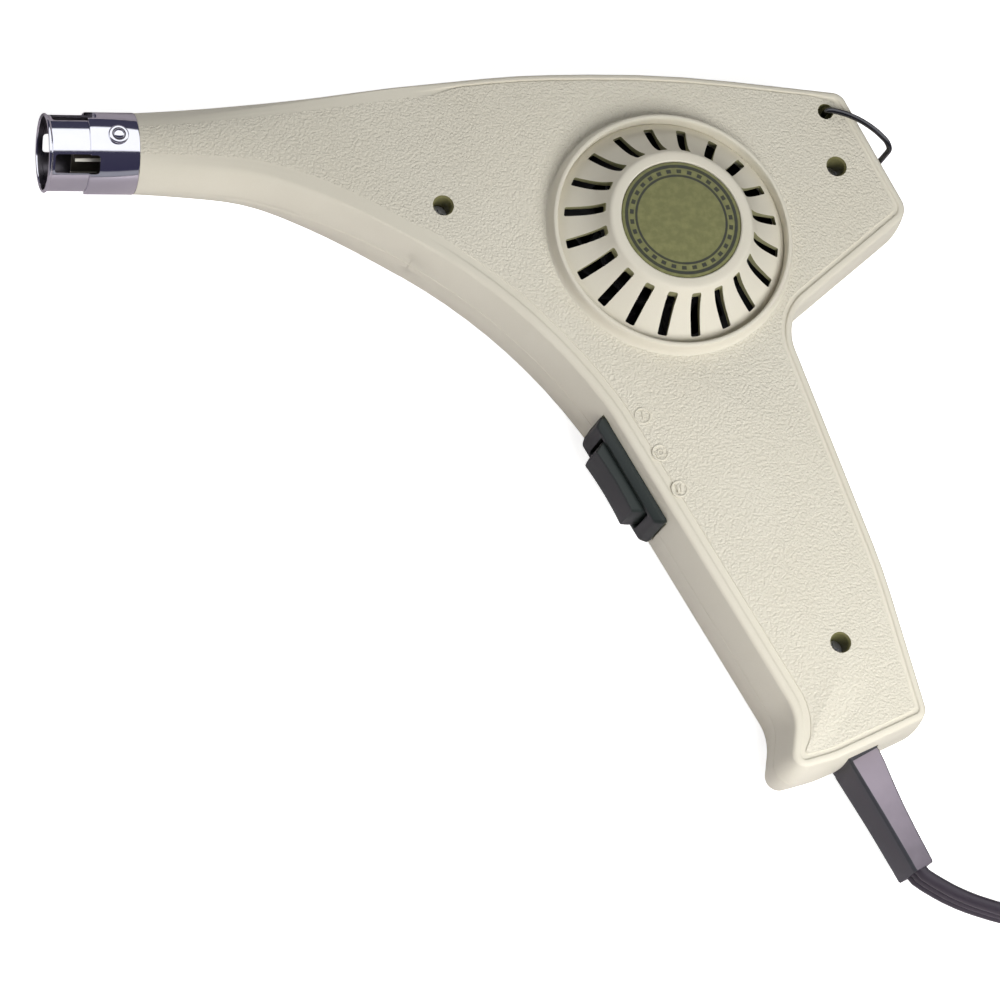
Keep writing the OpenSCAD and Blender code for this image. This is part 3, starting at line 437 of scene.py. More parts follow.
def combine(
    piece: bpy.types.Object, how: Joining, *tools: Shape, sharp: float, finish: int | None = None
) -> bpy.types.Object:
    """Cuts shapes out of a piece, or welds them on, one after the other.

    Args:
        piece: The piece, changed in place.
        how: Whether the shapes are cut out or welded on.
        *tools: The shapes.
        sharp: Edges that turn by more than this many degrees stay sharp.
        finish: Finish number of the faces that the shapes leave behind, where it isn't their own.

    Returns:
        The piece.
    """
    for tool in tools:
        if finish is not None:
            tool.repaint(0, len(tool.finish), finish)
        other = make("tool", tool, piece.data.materials, sharp)
        work = piece.modifiers.new("work", "BOOLEAN")
        work.operation, work.object, work.solver = how.value, other, "EXACT"
        bpy.context.view_layer.update()
        graph = bpy.context.evaluated_depsgraph_get()
        mesh = bpy.data.meshes.new_from_object(piece.evaluated_get(graph))
        old, piece.data = piece.data, mesh
        piece.modifiers.clear()
        bpy.data.meshes.remove(old)
        bpy.data.objects.remove(other)
        mesh.name = piece.name
        shade(mesh, sharp)
    return piece


def dress(piece: bpy.types.Object, body: str, slot: str, *nodes: str) -> None:
    """Puts a piece on its body, hides the CAD nodes that it stands for and names them in the log.

    Args:
        piece: The piece.
        body: The body that it rides on.
        slot: Its material slot; not used.
        *nodes: The CAD nodes that it replaces.
    """
    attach(piece, body)
    if nodes:
        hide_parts(*nodes)
    stands_for = ", ".join(nodes) or "no node"
    log.info("%s: %d faces on %s, for %s", piece.name, len(piece.data.polygons), body, stands_for)


# Finishes


class Grain(Enum):
    """Kinds of surface grain."""

    SATIN = "fine even noise"
    PEBBLE = "small rounded pebbles with creases between them"
    BRUSHED = "long scratches along X"
    FLAKES = "flat flakes with hard borders"
    WEAVE = "crossed threads"


class Socket:
    """A shader socket that can be used in sums and products with other sockets and with numbers."""

    def __init__(self, recipe: "Recipe", link: bpy.types.NodeSocket) -> None:
        """Keeps a socket and the recipe that it belongs to."""
        self.recipe, self.link = recipe, link

    def maths(self, how: str, *others: "Socket | float") -> "Socket":
        """A Math node of this socket and others."""
        return self.recipe.node("ShaderNodeMath", {"operation": how}, dict(enumerate((self, *others))))

    def __add__(self, other: "Socket | float") -> "Socket":
        """This plus another."""
        return self.maths("ADD", other)

    __radd__ = __add__

    def __sub__(self, other: "Socket | float") -> "Socket":
        """This less another."""
        return self.maths("SUBTRACT", other)

    def __rsub__(self, other: float) -> "Socket":
        """Another less this."""
        return (self * -1.0) + other

    def __mul__(self, other: "Socket | float") -> "Socket":
        """This times another."""
        return self.maths("MULTIPLY", other)

    __rmul__ = __mul__

    def __truediv__(self, other: "Socket | float") -> "Socket":
        """This over another."""
        return self.maths("DIVIDE", other)


class Recipe:
    """The node tree of a material or a world."""

    def __init__(self, owner: bpy.types.Material | bpy.types.World) -> None:
        """Clears the node tree of a material or world and takes it over.

        Args:
            owner: The material or world.
        """
        self.owner = owner
        owner.use_nodes = True
        self.tree = owner.node_tree
        self.tree.nodes.clear()

    @classmethod
    def of_material(cls, name: str) -> "Recipe":
        """Starts a new material."""
        return cls(bpy.data.materials.new(name))

    def node(
        self,
        kind: str,
        settings: dict[str, object] | None = None,
        inputs: dict[object, object] | None = None,
        out: int | str = 0,
    ) -> Socket:
        """Adds a node.

        Args:
            kind: The node's type.
            settings: Its own settings; stops sets a ramp's stops.
            inputs: Values or sockets for its inputs, by name or number.
            out: The output to return, by name or number.

        Returns:
            The output.
        """
        new = self.tree.nodes.new(kind)
        for key, value in (settings or {}).items():
            if key == "stops":
                self._set_stops(new.color_ramp, value)
            else:
                setattr(new, key, value)
        for key, value in (inputs or {}).items():
            if isinstance(value, Socket):
                self.tree.links.new(value.link, new.inputs[key])
            else:
                new.inputs[key].default_value = value
        return Socket(self, new.outputs[out])

    @staticmethod
    def _set_stops(ramp: bpy.types.ColorRamp, stops: Stops) -> None:
        """Sets the stops of a ramp from (place, grey level) pairs.

        Args:
            ramp: The ramp.
            stops: Pairs of place and grey level.
        """
        for k, (place, level) in enumerate(stops):
            stop = ramp.elements[k] if k < len(ramp.elements) else ramp.elements.new(place)
            stop.position, stop.color = place, (level, level, level, 1)

    def vector(self, how: str, *inputs: object, out: int | str = 0) -> Socket:
        """A Vector Math node."""
        return self.node("ShaderNodeVectorMath", {"operation": how}, dict(enumerate(inputs)), out)

    def axes(self, vector: Socket, *names: str) -> list[Socket]:
        """The named axes of a vector."""
        return [self.node("ShaderNodeSeparateXYZ", None, {"Vector": vector}, out=name) for name in names]

    def coordinates(self, offset: Sequence[float] = (0, 0, 0), scale: Sequence[float] = (1, 1, 1)) -> Socket:
        """Object coordinates, moved and then stretched."""
        place = self.node("ShaderNodeTexCoord", out="Object")
        return self.vector("MULTIPLY", self.vector("SUBTRACT", place, tuple(offset)), tuple(scale))

    def noise(self, per_mm: float, detail: float = 2.0, place: Socket | None = None) -> Socket:
        """Noise with the given number of features a millimetre, from 0 to 1."""
        inputs = {"Vector": place or self.coordinates(), "Scale": per_mm * 1000, "Detail": detail}
        return self.node("ShaderNodeTexNoise", {"noise_dimensions": "3D"}, inputs)

    def ramp(self, value: Socket, stops: Stops) -> Socket:
        """A grey ramp of a value."""
        return self.node("ShaderNodeValToRGB", {"stops": stops}, {"Fac": value})

    def between(self, share: Socket, low: Colour | Socket, high: Colour | Socket) -> Socket:
        """A colour between two, by share."""
        low, high = (c if isinstance(c, Socket) else (*c, 1) for c in (low, high))
        return self.node("ShaderNodeMix", {"data_type": "RGBA"}, {"Factor": share, 6: low, 7: high}, out=2)

    def bump(self, height: Socket, relief: float) -> Socket:
        """A bump of a height from 0 to 1 times a relief in millimetres."""
        inputs = {"Strength": 1.0, "Distance": relief / 1000, "Height": height}
        return self.node("ShaderNodeBump", None, inputs)

    def shader(self, kind: str, **inputs: object) -> Socket:
        """A shader node, with its inputs by name and an underscore for a space."""
        named = {key.replace("_", " "): value for key, value in inputs.items()}
        return self.node(f"ShaderNode{kind}", None, named)

    def mixed(self, share: Socket, low: Socket, high: Socket) -> Socket:
        """Two shaders mixed by share."""
        return self.node("ShaderNodeMixShader", None, {"Fac": share, 1: low, 2: high})

    def ray(self, kind: str) -> Socket:
        """1 for rays of a kind, such as Camera or Glossy."""
        return self.node("ShaderNodeLightPath", out=f"Is {kind} Ray")

    def end(self, shader: Socket, kind: str = "Material") -> bpy.types.Material | bpy.types.World:
        """Links a shader to the output of the material or world, and returns that.

        Args:
            shader: The shader.
            kind: Material or World.

        Returns:
            The material or world.
        """
        output = self.tree.nodes.new(f"ShaderNodeOutput{kind}")
        self.tree.links.new(shader.link, output.inputs["Surface"])
        return self.owner


@dataclass(frozen=True)
class Finish:
    """A surface finish.

    Attributes:
        name: The material's name.
        colour: Its main colour.
        tint: The colour that it drifts to, and that the grain's low parts lean to as painted shade.
        grain: The kind of grain.
        size: Size of one grain, in millimetres.
        relief: Height of the grain, in millimetres.
        rough: Least and greatest roughness.
        metal: 1 for bare metal.
    """

    name: str
    colour: Colour
    tint: Colour
    grain: Grain = Grain.SATIN
    size: float = 0.4
    relief: float = 0.01
    rough: tuple[float, float] = (0.4, 0.55)
    metal: float = 0.0

    def _pebbles(self, r: Recipe) -> Socket:
        """Rounded cells, bent by a noise of about their own size so that no two are alike.

        Args:
            r: The recipe of the material.

        Returns:
            Heights from 0 to 1.
        """
        inputs = {"Vector": r.coordinates(), "Scale": 700 / self.size, "Detail": 1.0}
        drift = r.node("ShaderNodeTexNoise", None, inputs, out="Color")
        bent = r.vector("MULTIPLY_ADD", drift, (self.size * 0.0009,) * 3, r.coordinates())
        inputs = {"Vector": bent, "Scale": 1000 / self.size, "Smoothness": 0.35}
        cells = r.node("ShaderNodeTexVoronoi", {"feature": "SMOOTH_F1"}, inputs)
        return r.ramp(cells, [(0.05, 1.0), (0.45, 0.55), (0.8, 0.0)])

    def _threads(self, r: Recipe) -> Socket:
        """The mean of waves along each axis.

        Args:
            r: The recipe of the material.

        Returns:
            Heights from 0 to 1.
        """
        inputs = {"Vector": r.coordinates(), "Scale": 160 / self.size, "Distortion": 1.0}
        waves = []
        for way in ("X", "Y", "Z"):
            settings = {"bands_direction": way, "wave_profile": "SIN"}
            waves.append(r.node("ShaderNodeTexWave", settings, inputs, out="Fac"))
        return (waves[0] + waves[1] + waves[2]) / 3.0

    def _height(self, r: Recipe) -> Socket:
        """The grain's height, from 0 to 1.

        Args:
            r: The recipe of the material.

        Returns:
            Heights from 0 to 1.
        """
        if self.grain is Grain.PEBBLE:
            return self._pebbles(r)
        if self.grain is Grain.BRUSHED:
            return r.noise(1 / self.size, 3.0, r.coordinates(scale=(0.04, 1, 1)))
        if self.grain is Grain.FLAKES:
            inputs = {"Vector": r.coordinates(), "Scale": 1000 / self.size}
            return r.node("ShaderNodeTexVoronoi", {"feature": "F1"}, inputs, out="Color")
        if self.grain is Grain.WEAVE:
            return self._threads(r)
        return r.noise(1 / self.size, 4.0)

    def material(self) -> bpy.types.Material:
        """Makes the material: colour and roughness drift with noise, and the grain is a bump.

        Returns:
            The material.
        """
        r = Recipe.of_material(self.name)
        height = self._height(r)
        drift = r.ramp(r.noise(0.03, 3.0), [(0.3, 0.0), (0.7, 1.0)])
        low, high = self.rough
        return r.end(r.shader(
            "BsdfPrincipled",
            # The grain's low parts take more of the tint: painted shade in its creases.
            Base_Color=r.between(drift * 0.5 + height * 0.5, self.tint, self.colour),
            Metallic=self.metal,
            Roughness=drift * (high - low) + low,
            Normal=r.bump(height, self.relief),
        ))


@dataclass(frozen=True)
class BadgeFinish:
    """A printed disc: a worn olive field inside a dark border of two rings with fine ticks between them.

    Attributes:
        name: The material's name.
        field: Colour of the field.
        worn: Colour that it wears to.
        line: Colour of the rings and ticks.
        radius: Radius of the disc, in millimetres.
        rings: Start and end of each ring, as shares of the radius.
        track: Start and end of the ticks, as shares of the radius.
        ticks: Number of ticks.
    """

    name: str = "printed_badge"
    field: Colour = (0.140, 0.142, 0.052)
    worn: Colour = (0.225, 0.226, 0.100)
    line: Colour = (0.012, 0.014, 0.008)
    radius: float = 15.7
    rings: tuple[tuple[float, float], ...] = ((0.735, 0.781), (0.890, 0.951))
    track: tuple[float, float] = (0.800, 0.870)
    ticks: int = 60

    @staticmethod
    def _bands(soft: float, *spans: tuple[float, float]) -> Stops:
        """Stops of a ramp that is white over each span, with borders of the width soft inside it.

        Args:
            soft: Width of the borders.
            *spans: Start and end of each span.

        Returns:
            Pairs of place and grey level.
        """
        stops = [(0.0, 0.0)]
        for start, end in spans:
            stops += [(start, 0.0), (start + soft, 1.0), (end - soft, 1.0), (end, 0.0)]
        return stops

    def material(self) -> bpy.types.Material:
        """Makes the material: rings by distance from the fan's axis, ticks by angle and wear by noise.

        Returns:
            The material.
        """
        r = Recipe.of_material(self.name)
        place = r.coordinates(PLACE.row(np.array([*FAN, 0])), (1000, 1000, 0))
        share = r.vector("LENGTH", place, out="Value") / self.radius
        y, x = r.axes(place, "Y", "X")
        angle = y.maths("ARCTAN2", x) * (self.ticks / 2)
        spoke = r.ramp(angle.maths("SINE") * 0.5 + 0.5, [(0.52, 0.0), (0.62, 1.0)])
        rings = r.ramp(share, self._bands(0.006, *self.rings))
        track = r.ramp(share, self._bands(0.004, self.track))
        wear = r.ramp(r.noise(0.5, 5.0), [(0.42, 0.0), (0.68, 1.0)])
        worn = r.between(wear * 0.7, self.field, self.worn)
        drawn = rings.maths("MAXIMUM", track * spoke) * (1 - wear * 0.12)
        return r.end(r.shader(
            "BsdfPrincipled",
            Base_Color=r.between(drawn, worn, self.line),
            Roughness=wear * 0.2 + 0.4,
            Normal=r.bump(r.noise(4.0, 2.0), 0.01),
        ))


@dataclass(frozen=True)
class EdgeFinish:
    """Mica sheets in painted shade, with a painted highlight on the edge away from the barrel's axis.

    Attributes:
        name: The material's name.
        sheet: Colour of the flat sheet, near black as painted shade.
        edge: Colour of its edge, pale as painted highlight.
        reach: Distance of the edge from the axis, in millimetres.
    """

    name: str = "mica_cross_painted_light"
    sheet: Colour = (0.055, 0.048, 0.036)
    edge: Colour = (0.72, 0.70, 0.62)
    reach: float = 4.9

    def material(self) -> bpy.types.Material:
        """Makes the material: the colours change over where the distance from the axis nears the reach.

        Returns:
            The material.
        """
        r = Recipe.of_material(self.name)
        place = r.coordinates(PLACE.row(np.zeros(3)), (0, 1000, 1000))
        share = r.vector("LENGTH", place, out="Value") / self.reach
        # Near-black sheet as painted shade, pale edge as painted highlight.
        pale = r.ramp(share * 0.5, [(0.480, 0.0), (0.492, 1.0)])
        flakes = r.noise(1.2, 3.0)
        return r.end(r.shader(
            "BsdfPrincipled",
            Base_Color=r.between(pale, self.sheet, self.edge),
            Roughness=flakes * 0.2 + 0.35,
            Normal=r.bump(flakes, 0.01),
        ))


@dataclass(frozen=True)
class PaintedSheenFinish:
    """Rubber with a painted sheen: pale on the relief's upper faces, fading down the strain relief.

    Attributes:
        name: The material's name.
        dark: Colour of the rubber without the sheen.
        pale: Colour of the painted sheen.
    """

    name: str = "relief_painted_sheen"
    dark: Colour = (0.050, 0.044, 0.054)
    pale: Colour = (0.270, 0.235, 0.275)

    def material(self) -> bpy.types.Material:
        """Makes the material: the way down the grip fades the painted sheen, and noise breaks it up.

        Returns:
            The material.
        """
        r = Recipe.of_material(self.name)
        down = (*(float(part) for part in GRIP.ways()[0]), 0.0)
        begin = PLACE.row(np.array([*GRIP.xy(RELIEF_START, 0.0), 0.0]))
        way = r.vector("DOT_PRODUCT", r.coordinates(begin, (1000, 1000, 1000)), down, out="Value")
        share = way / RELIEF_LENGTH + r.noise(0.25, 3.0) * 0.3 - 0.15
        # A painted sheen: pale near the root, fading towards the tip.
        sheen_share = r.ramp(share, [(0.0, 0.9), (0.25, 1.0), (0.75, 0.55), (1.0, 0.30)])
        fine = r.noise(2.5, 3.0)
        return r.end(r.shader(
            "BsdfPrincipled",
            Base_Color=r.between(sheen_share, self.dark, self.pale),
            Roughness=fine * 0.15 + 0.42,
            Normal=r.bump(fine, 0.012),
        ))


CREAM, CREAM_DEEP = (0.700, 0.668, 0.570), (0.655, 0.616, 0.510)

SATIN, PEBBLE, BRUSHED, FLAKES, WEAVE = Grain

FINISHES = (
    Finish("casing_smooth", CREAM, CREAM_DEEP, SATIN, 0.5, 0.006, (0.42, 0.52)),
    Finish("casing_pebbled", CREAM, CREAM_DEEP, PEBBLE, 0.62, 0.18, (0.40, 0.52)),
    # Dark olive for the walls of the screw holes, the bail's eye and other openings: painted shade.
    Finish("casing_hollow_shade", (0.20, 0.19, 0.085), (0.15, 0.14, 0.06), SATIN, 0.5, 0.006, (0.5, 0.6)),
    # Olive for the walls of the grille's slots and the boss's inner wall: painted shade.
    Finish("slot_wall_shade", (0.31, 0.30, 0.17), (0.25, 0.24, 0.13), SATIN, 0.5, 0.006, (0.45, 0.55)),
    Finish("bright_plate", (0.86, 0.86, 0.89), (0.74, 0.74, 0.79), SATIN, 3.0, 0.012, (0.05, 0.12), 1.0),
    # Dark steel for the inside of the sleeve and the button's groove: painted shade.
    Finish("painted_shade_plate", (0.16, 0.15, 0.16), (0.08, 0.075, 0.085), SATIN, 1.2, 0.01, (0.22, 0.4), 1.0),
    Finish("zinc_plate", (0.62, 0.62, 0.64), (0.50, 0.50, 0.52), BRUSHED, 0.3, 0.004, (0.22, 0.38), 1.0),
    Finish("dull_steel", (0.46, 0.46, 0.47), (0.34, 0.34, 0.35), BRUSHED, 0.3, 0.004, (0.32, 0.5), 1.0),
    Finish("mica_sheet", (0.22, 0.19, 0.15), (0.09, 0.08, 0.065), FLAKES, 0.9, 0.008, (0.3, 0.5)),
    Finish("resistance_wire", (0.30, 0.28, 0.27), (0.17, 0.16, 0.16), SATIN, 0.3, 0.004, (0.4, 0.6), 0.9),
    Finish("black_moulding", (0.022, 0.022, 0.023), (0.015, 0.015, 0.016), SATIN, 0.4, 0.01, (0.4, 0.55)),
    Finish("ferrite", (0.055, 0.055, 0.058), (0.035, 0.035, 0.036), SATIN, 0.2, 0.01, (0.6, 0.75)),
    Finish("brass_strip", (0.68, 0.52, 0.24), (0.55, 0.40, 0.17), BRUSHED, 0.3, 0.004, (0.22, 0.38), 1.0),
    Finish("enamelled_copper", (0.60, 0.26, 0.12), (0.42, 0.16, 0.07), BRUSHED, 0.35, 0.03, (0.25, 0.4), 0.8),
    Finish("circuit_board", (0.06, 0.17, 0.08), (0.04, 0.12, 0.06), WEAVE, 0.4, 0.006, (0.35, 0.5)),
    Finish("switch_moulding", (0.018, 0.024, 0.021), (0.011, 0.015, 0.014), SATIN, 0.35, 0.008, (0.34, 0.46)),
    Finish("cord_jacket", (0.038, 0.031, 0.041), (0.024, 0.019, 0.026), SATIN, 0.6, 0.012, (0.34, 0.48)),
    Finish("relief_rubber", (0.036, 0.037, 0.043), (0.023, 0.024, 0.028), SATIN, 0.5, 0.012, (0.36, 0.5)),
    Finish("glass_sleeve", (0.80, 0.78, 0.72), (0.66, 0.63, 0.56), WEAVE, 0.3, 0.03, (0.7, 0.85)),
    Finish("dark_wire", (0.15, 0.15, 0.15), (0.08, 0.08, 0.085), BRUSHED, 0.3, 0.004, (0.25, 0.4), 1.0),
    Finish("black_insulation", (0.03, 0.03, 0.03), (0.02, 0.02, 0.02), SATIN, 0.4, 0.006, (0.35, 0.5)),
    Finish("paper_tie", (0.84, 0.84, 0.80), (0.74, 0.74, 0.70), WEAVE, 0.5, 0.02, (0.7, 0.85)),
    BadgeFinish(),
    EdgeFinish(),
    PaintedSheenFinish(),
)


class Palette:
    """Every finish of the tool, made once."""

    def __init__(self) -> None:
        """Makes every finish."""
        self._made = {finish.name: finish.material() for finish in FINISHES}

    def __getitem__(self, name: str) -> bpy.types.Material:
        """A finish's material, by its name."""
        return self._made[name]


# Studio


@dataclass(frozen=True)
class Lamp:
    """One square soft lamp that faces the tool and doesn't show in shiny pieces.

    Attributes:
        name: Its name.
        at: Its place, in packed metres.
        size: Its side, in metres.
        power: Its power, in watts.
        colour: Its colour.
        aim: The point that it faces.
    """

    name: str
    at: tuple[float, float, float]
    size: float
    power: float
    colour: Colour = (1.0, 1.0, 1.0)
    aim: tuple[float, float, float] = (0.03, 0.0, 0.02)

    def hang(self) -> None:
        """Makes the lamp."""
        data = bpy.data.lights.new(self.name, "AREA")
        data.size, data.energy, data.color = self.size, self.power, self.colour
        lamp = bpy.data.objects.new(self.name, data)
        lamp.visible_glossy = False
        lamp.location = self.at
        lamp.rotation_euler = (Vector(self.aim) - Vector(self.at)).to_track_quat("-Z", "Y").to_euler()
        bpy.context.scene.collection.objects.link(lamp)


@dataclass(frozen=True)
class Studio:
    """Camera, floor, world and lamps.

    Attributes:
        eye: The camera's place in the tool's frame, in millimetres.
        right: Direction of the picture's right.
        back: Direction from the tool to the camera.
        lens: Focal length for a picture as wide as the film.
        film: Width of the film, in millimetres.
        clip: Nearest and farthest distance that the camera sees, in metres.
        floor_colour: Colour of the floor under the lamps.
        floor_glow: Light that the floor gives to the camera alone.
        floor_mirrored: Colour of the floor in shiny pieces.
        floor_half: Half the floor's side, in metres.
        panel: Edges of the bright panel that shiny pieces mirror, in degrees from straight up towards +Y.
        panel_colour: Its colour.
        panel_level: Its brightness.
        dusk: Colour of the dim light that shiny pieces mirror all round.
        dusk_level: Its brightness.
        air_level: Brightness of the even world that lights the tool.
        lamps: The lamps.
    """

    eye: tuple[float, float, float] = (-224.6, -471.5, 1144.7)
    right: tuple[float, float, float] = (0.96356, -0.09213, 0.25112)
    back: tuple[float, float, float] = (-0.26736, -0.30292, 0.91474)
    lens: float = 180.0
    film: float = 36.0
    clip: tuple[float, float] = (0.05, 20.0)
    floor_colour: Colour = (0.80, 0.80, 0.80)
    floor_glow: float = 0.80
    floor_mirrored: Colour = (0.50, 0.45, 0.50)
    floor_half: float = 4.0
    panel: tuple[float, float] = (-12.5, 55.5)
    panel_colour: Colour = (0.97, 0.98, 1.0)
    panel_level: float = 1.25
    dusk: Colour = (0.24, 0.20, 0.75)
    dusk_level: float = 0.065
    air_level: float = 0.06
    lamps: tuple[Lamp, ...] = (
        Lamp("low_right_key", (0.17, -0.34, 0.42), 0.36, 3.7),
        Lamp("overhead_fill", (-0.30, -0.10, 1.30), 1.0, 0.3),
        Lamp("left_edge", (-0.8, -0.15, 0.45), 0.5, 0.8),
        Lamp("low_front", (-0.40, -0.60, 0.10), 0.5, 0.4, (1.0, 0.78, 0.78)),
        Lamp("top_edge", (-0.12, 0.75, 0.13), 0.5, 2.4),
    )

    def camera(self) -> None:
        """Places the camera that the photograph was taken from."""
        data = bpy.data.cameras.new("photo_camera")
        data.lens, data.sensor_width = self.lens, self.film
        data.clip_start, data.clip_end = self.clip
        camera = bpy.data.objects.new("photo_camera", data)
        back = Vector(self.back).normalized()
        right = (Vector(self.right) - Vector(self.right).dot(back) * back).normalized()
        turned = Matrix((right, back.cross(right), back)).transposed().to_4x4()
        camera.matrix_world = Matrix.Translation(Vector(PLACE.row(np.array(self.eye)))) @ turned
        bpy.context.scene.collection.objects.link(camera)
        bpy.context.scene.camera = camera

    def floor(self) -> None:
        """Lays a wide pale floor: white to the camera, with the shadow, and dim in shiny pieces."""
        r = Recipe.of_material("pale_floor")
        plain = r.shader("BsdfDiffuse", Color=(*self.floor_colour, 1))
        dim = r.shader("BsdfDiffuse", Color=(*self.floor_mirrored, 1))
        glow = r.shader("Emission", Color=(1, 1, 1, 1), Strength=self.floor_glow)
        seen = r.node("ShaderNodeAddShader", None, {0: plain, 1: glow})
        material = r.end(r.mixed(r.ray("Camera"), r.mixed(r.ray("Glossy"), plain, dim), seen))
        half = self.floor_half
        corners = [(-half, -half, 0), (half, -half, 0), (half, half, 0), (-half, half, 0)]
        mesh = bpy.data.meshes.new("floor")
        mesh.from_pydata(corners, [], [[0, 1, 2, 3]])
        mesh.materials.append(material)
        floor = bpy.data.objects.new("floor", mesh)
        bpy.context.scene.collection.objects.link(floor)

    def air(self) -> None:
        """Makes an even grey world whose mirror image is a bright panel between dark sides, over dusk.

        The panel fills the directions whose angle about X, from straight up towards +Y, lies between its two
        edges. The ramp reads that angle as a share of a full turn, with 0.5 straight up and 0.25 towards -Y.
        """
        world = bpy.data.worlds.new("studio_air")
        r = Recipe(world)
        y, z = r.axes(r.node("ShaderNodeTexCoord", out="Generated"), "Y", "Z")
        angle = y.maths("ARCTAN2", z) / np.pi * 0.5 + 0.5
        low, high = (0.5 + edge / 360 for edge in self.panel)
        below = [(0.0, 0.25), (0.287, 0.25)]
        dark_before = [(0.295, 0.02), (low - 0.01, 0.03)]
        dark_after = [(high + 0.01, 0.035), (high + 0.09, 0.03)]
        level = r.ramp(angle, [*below, *dark_before, (low, 1.0), (high, 1.0), *dark_after, (0.8, 0.25)])
        panel = r.shader("Background", Color=(*self.panel_colour, 1), Strength=level * self.panel_level)
        dusk = r.shader("Background", Color=(*self.dusk, 1), Strength=self.dusk_level)
        mirrored = r.node("ShaderNodeAddShader", None, {0: panel, 1: dusk})
        even = r.shader("Background", Color=(1, 1, 1, 1), Strength=self.air_level)
        r.end(r.mixed(r.ray("Glossy"), even, mirrored), "World")
        bpy.context.scene.world = world

    def build(self) -> None:
        """Makes the camera, the floor, the world and the lamps."""
        self.camera()
        self.floor()
        self.air()
        for lamp in self.lamps:
            lamp.hang()
        bpy.context.scene.view_settings.view_transform = "Standard"


# Cord


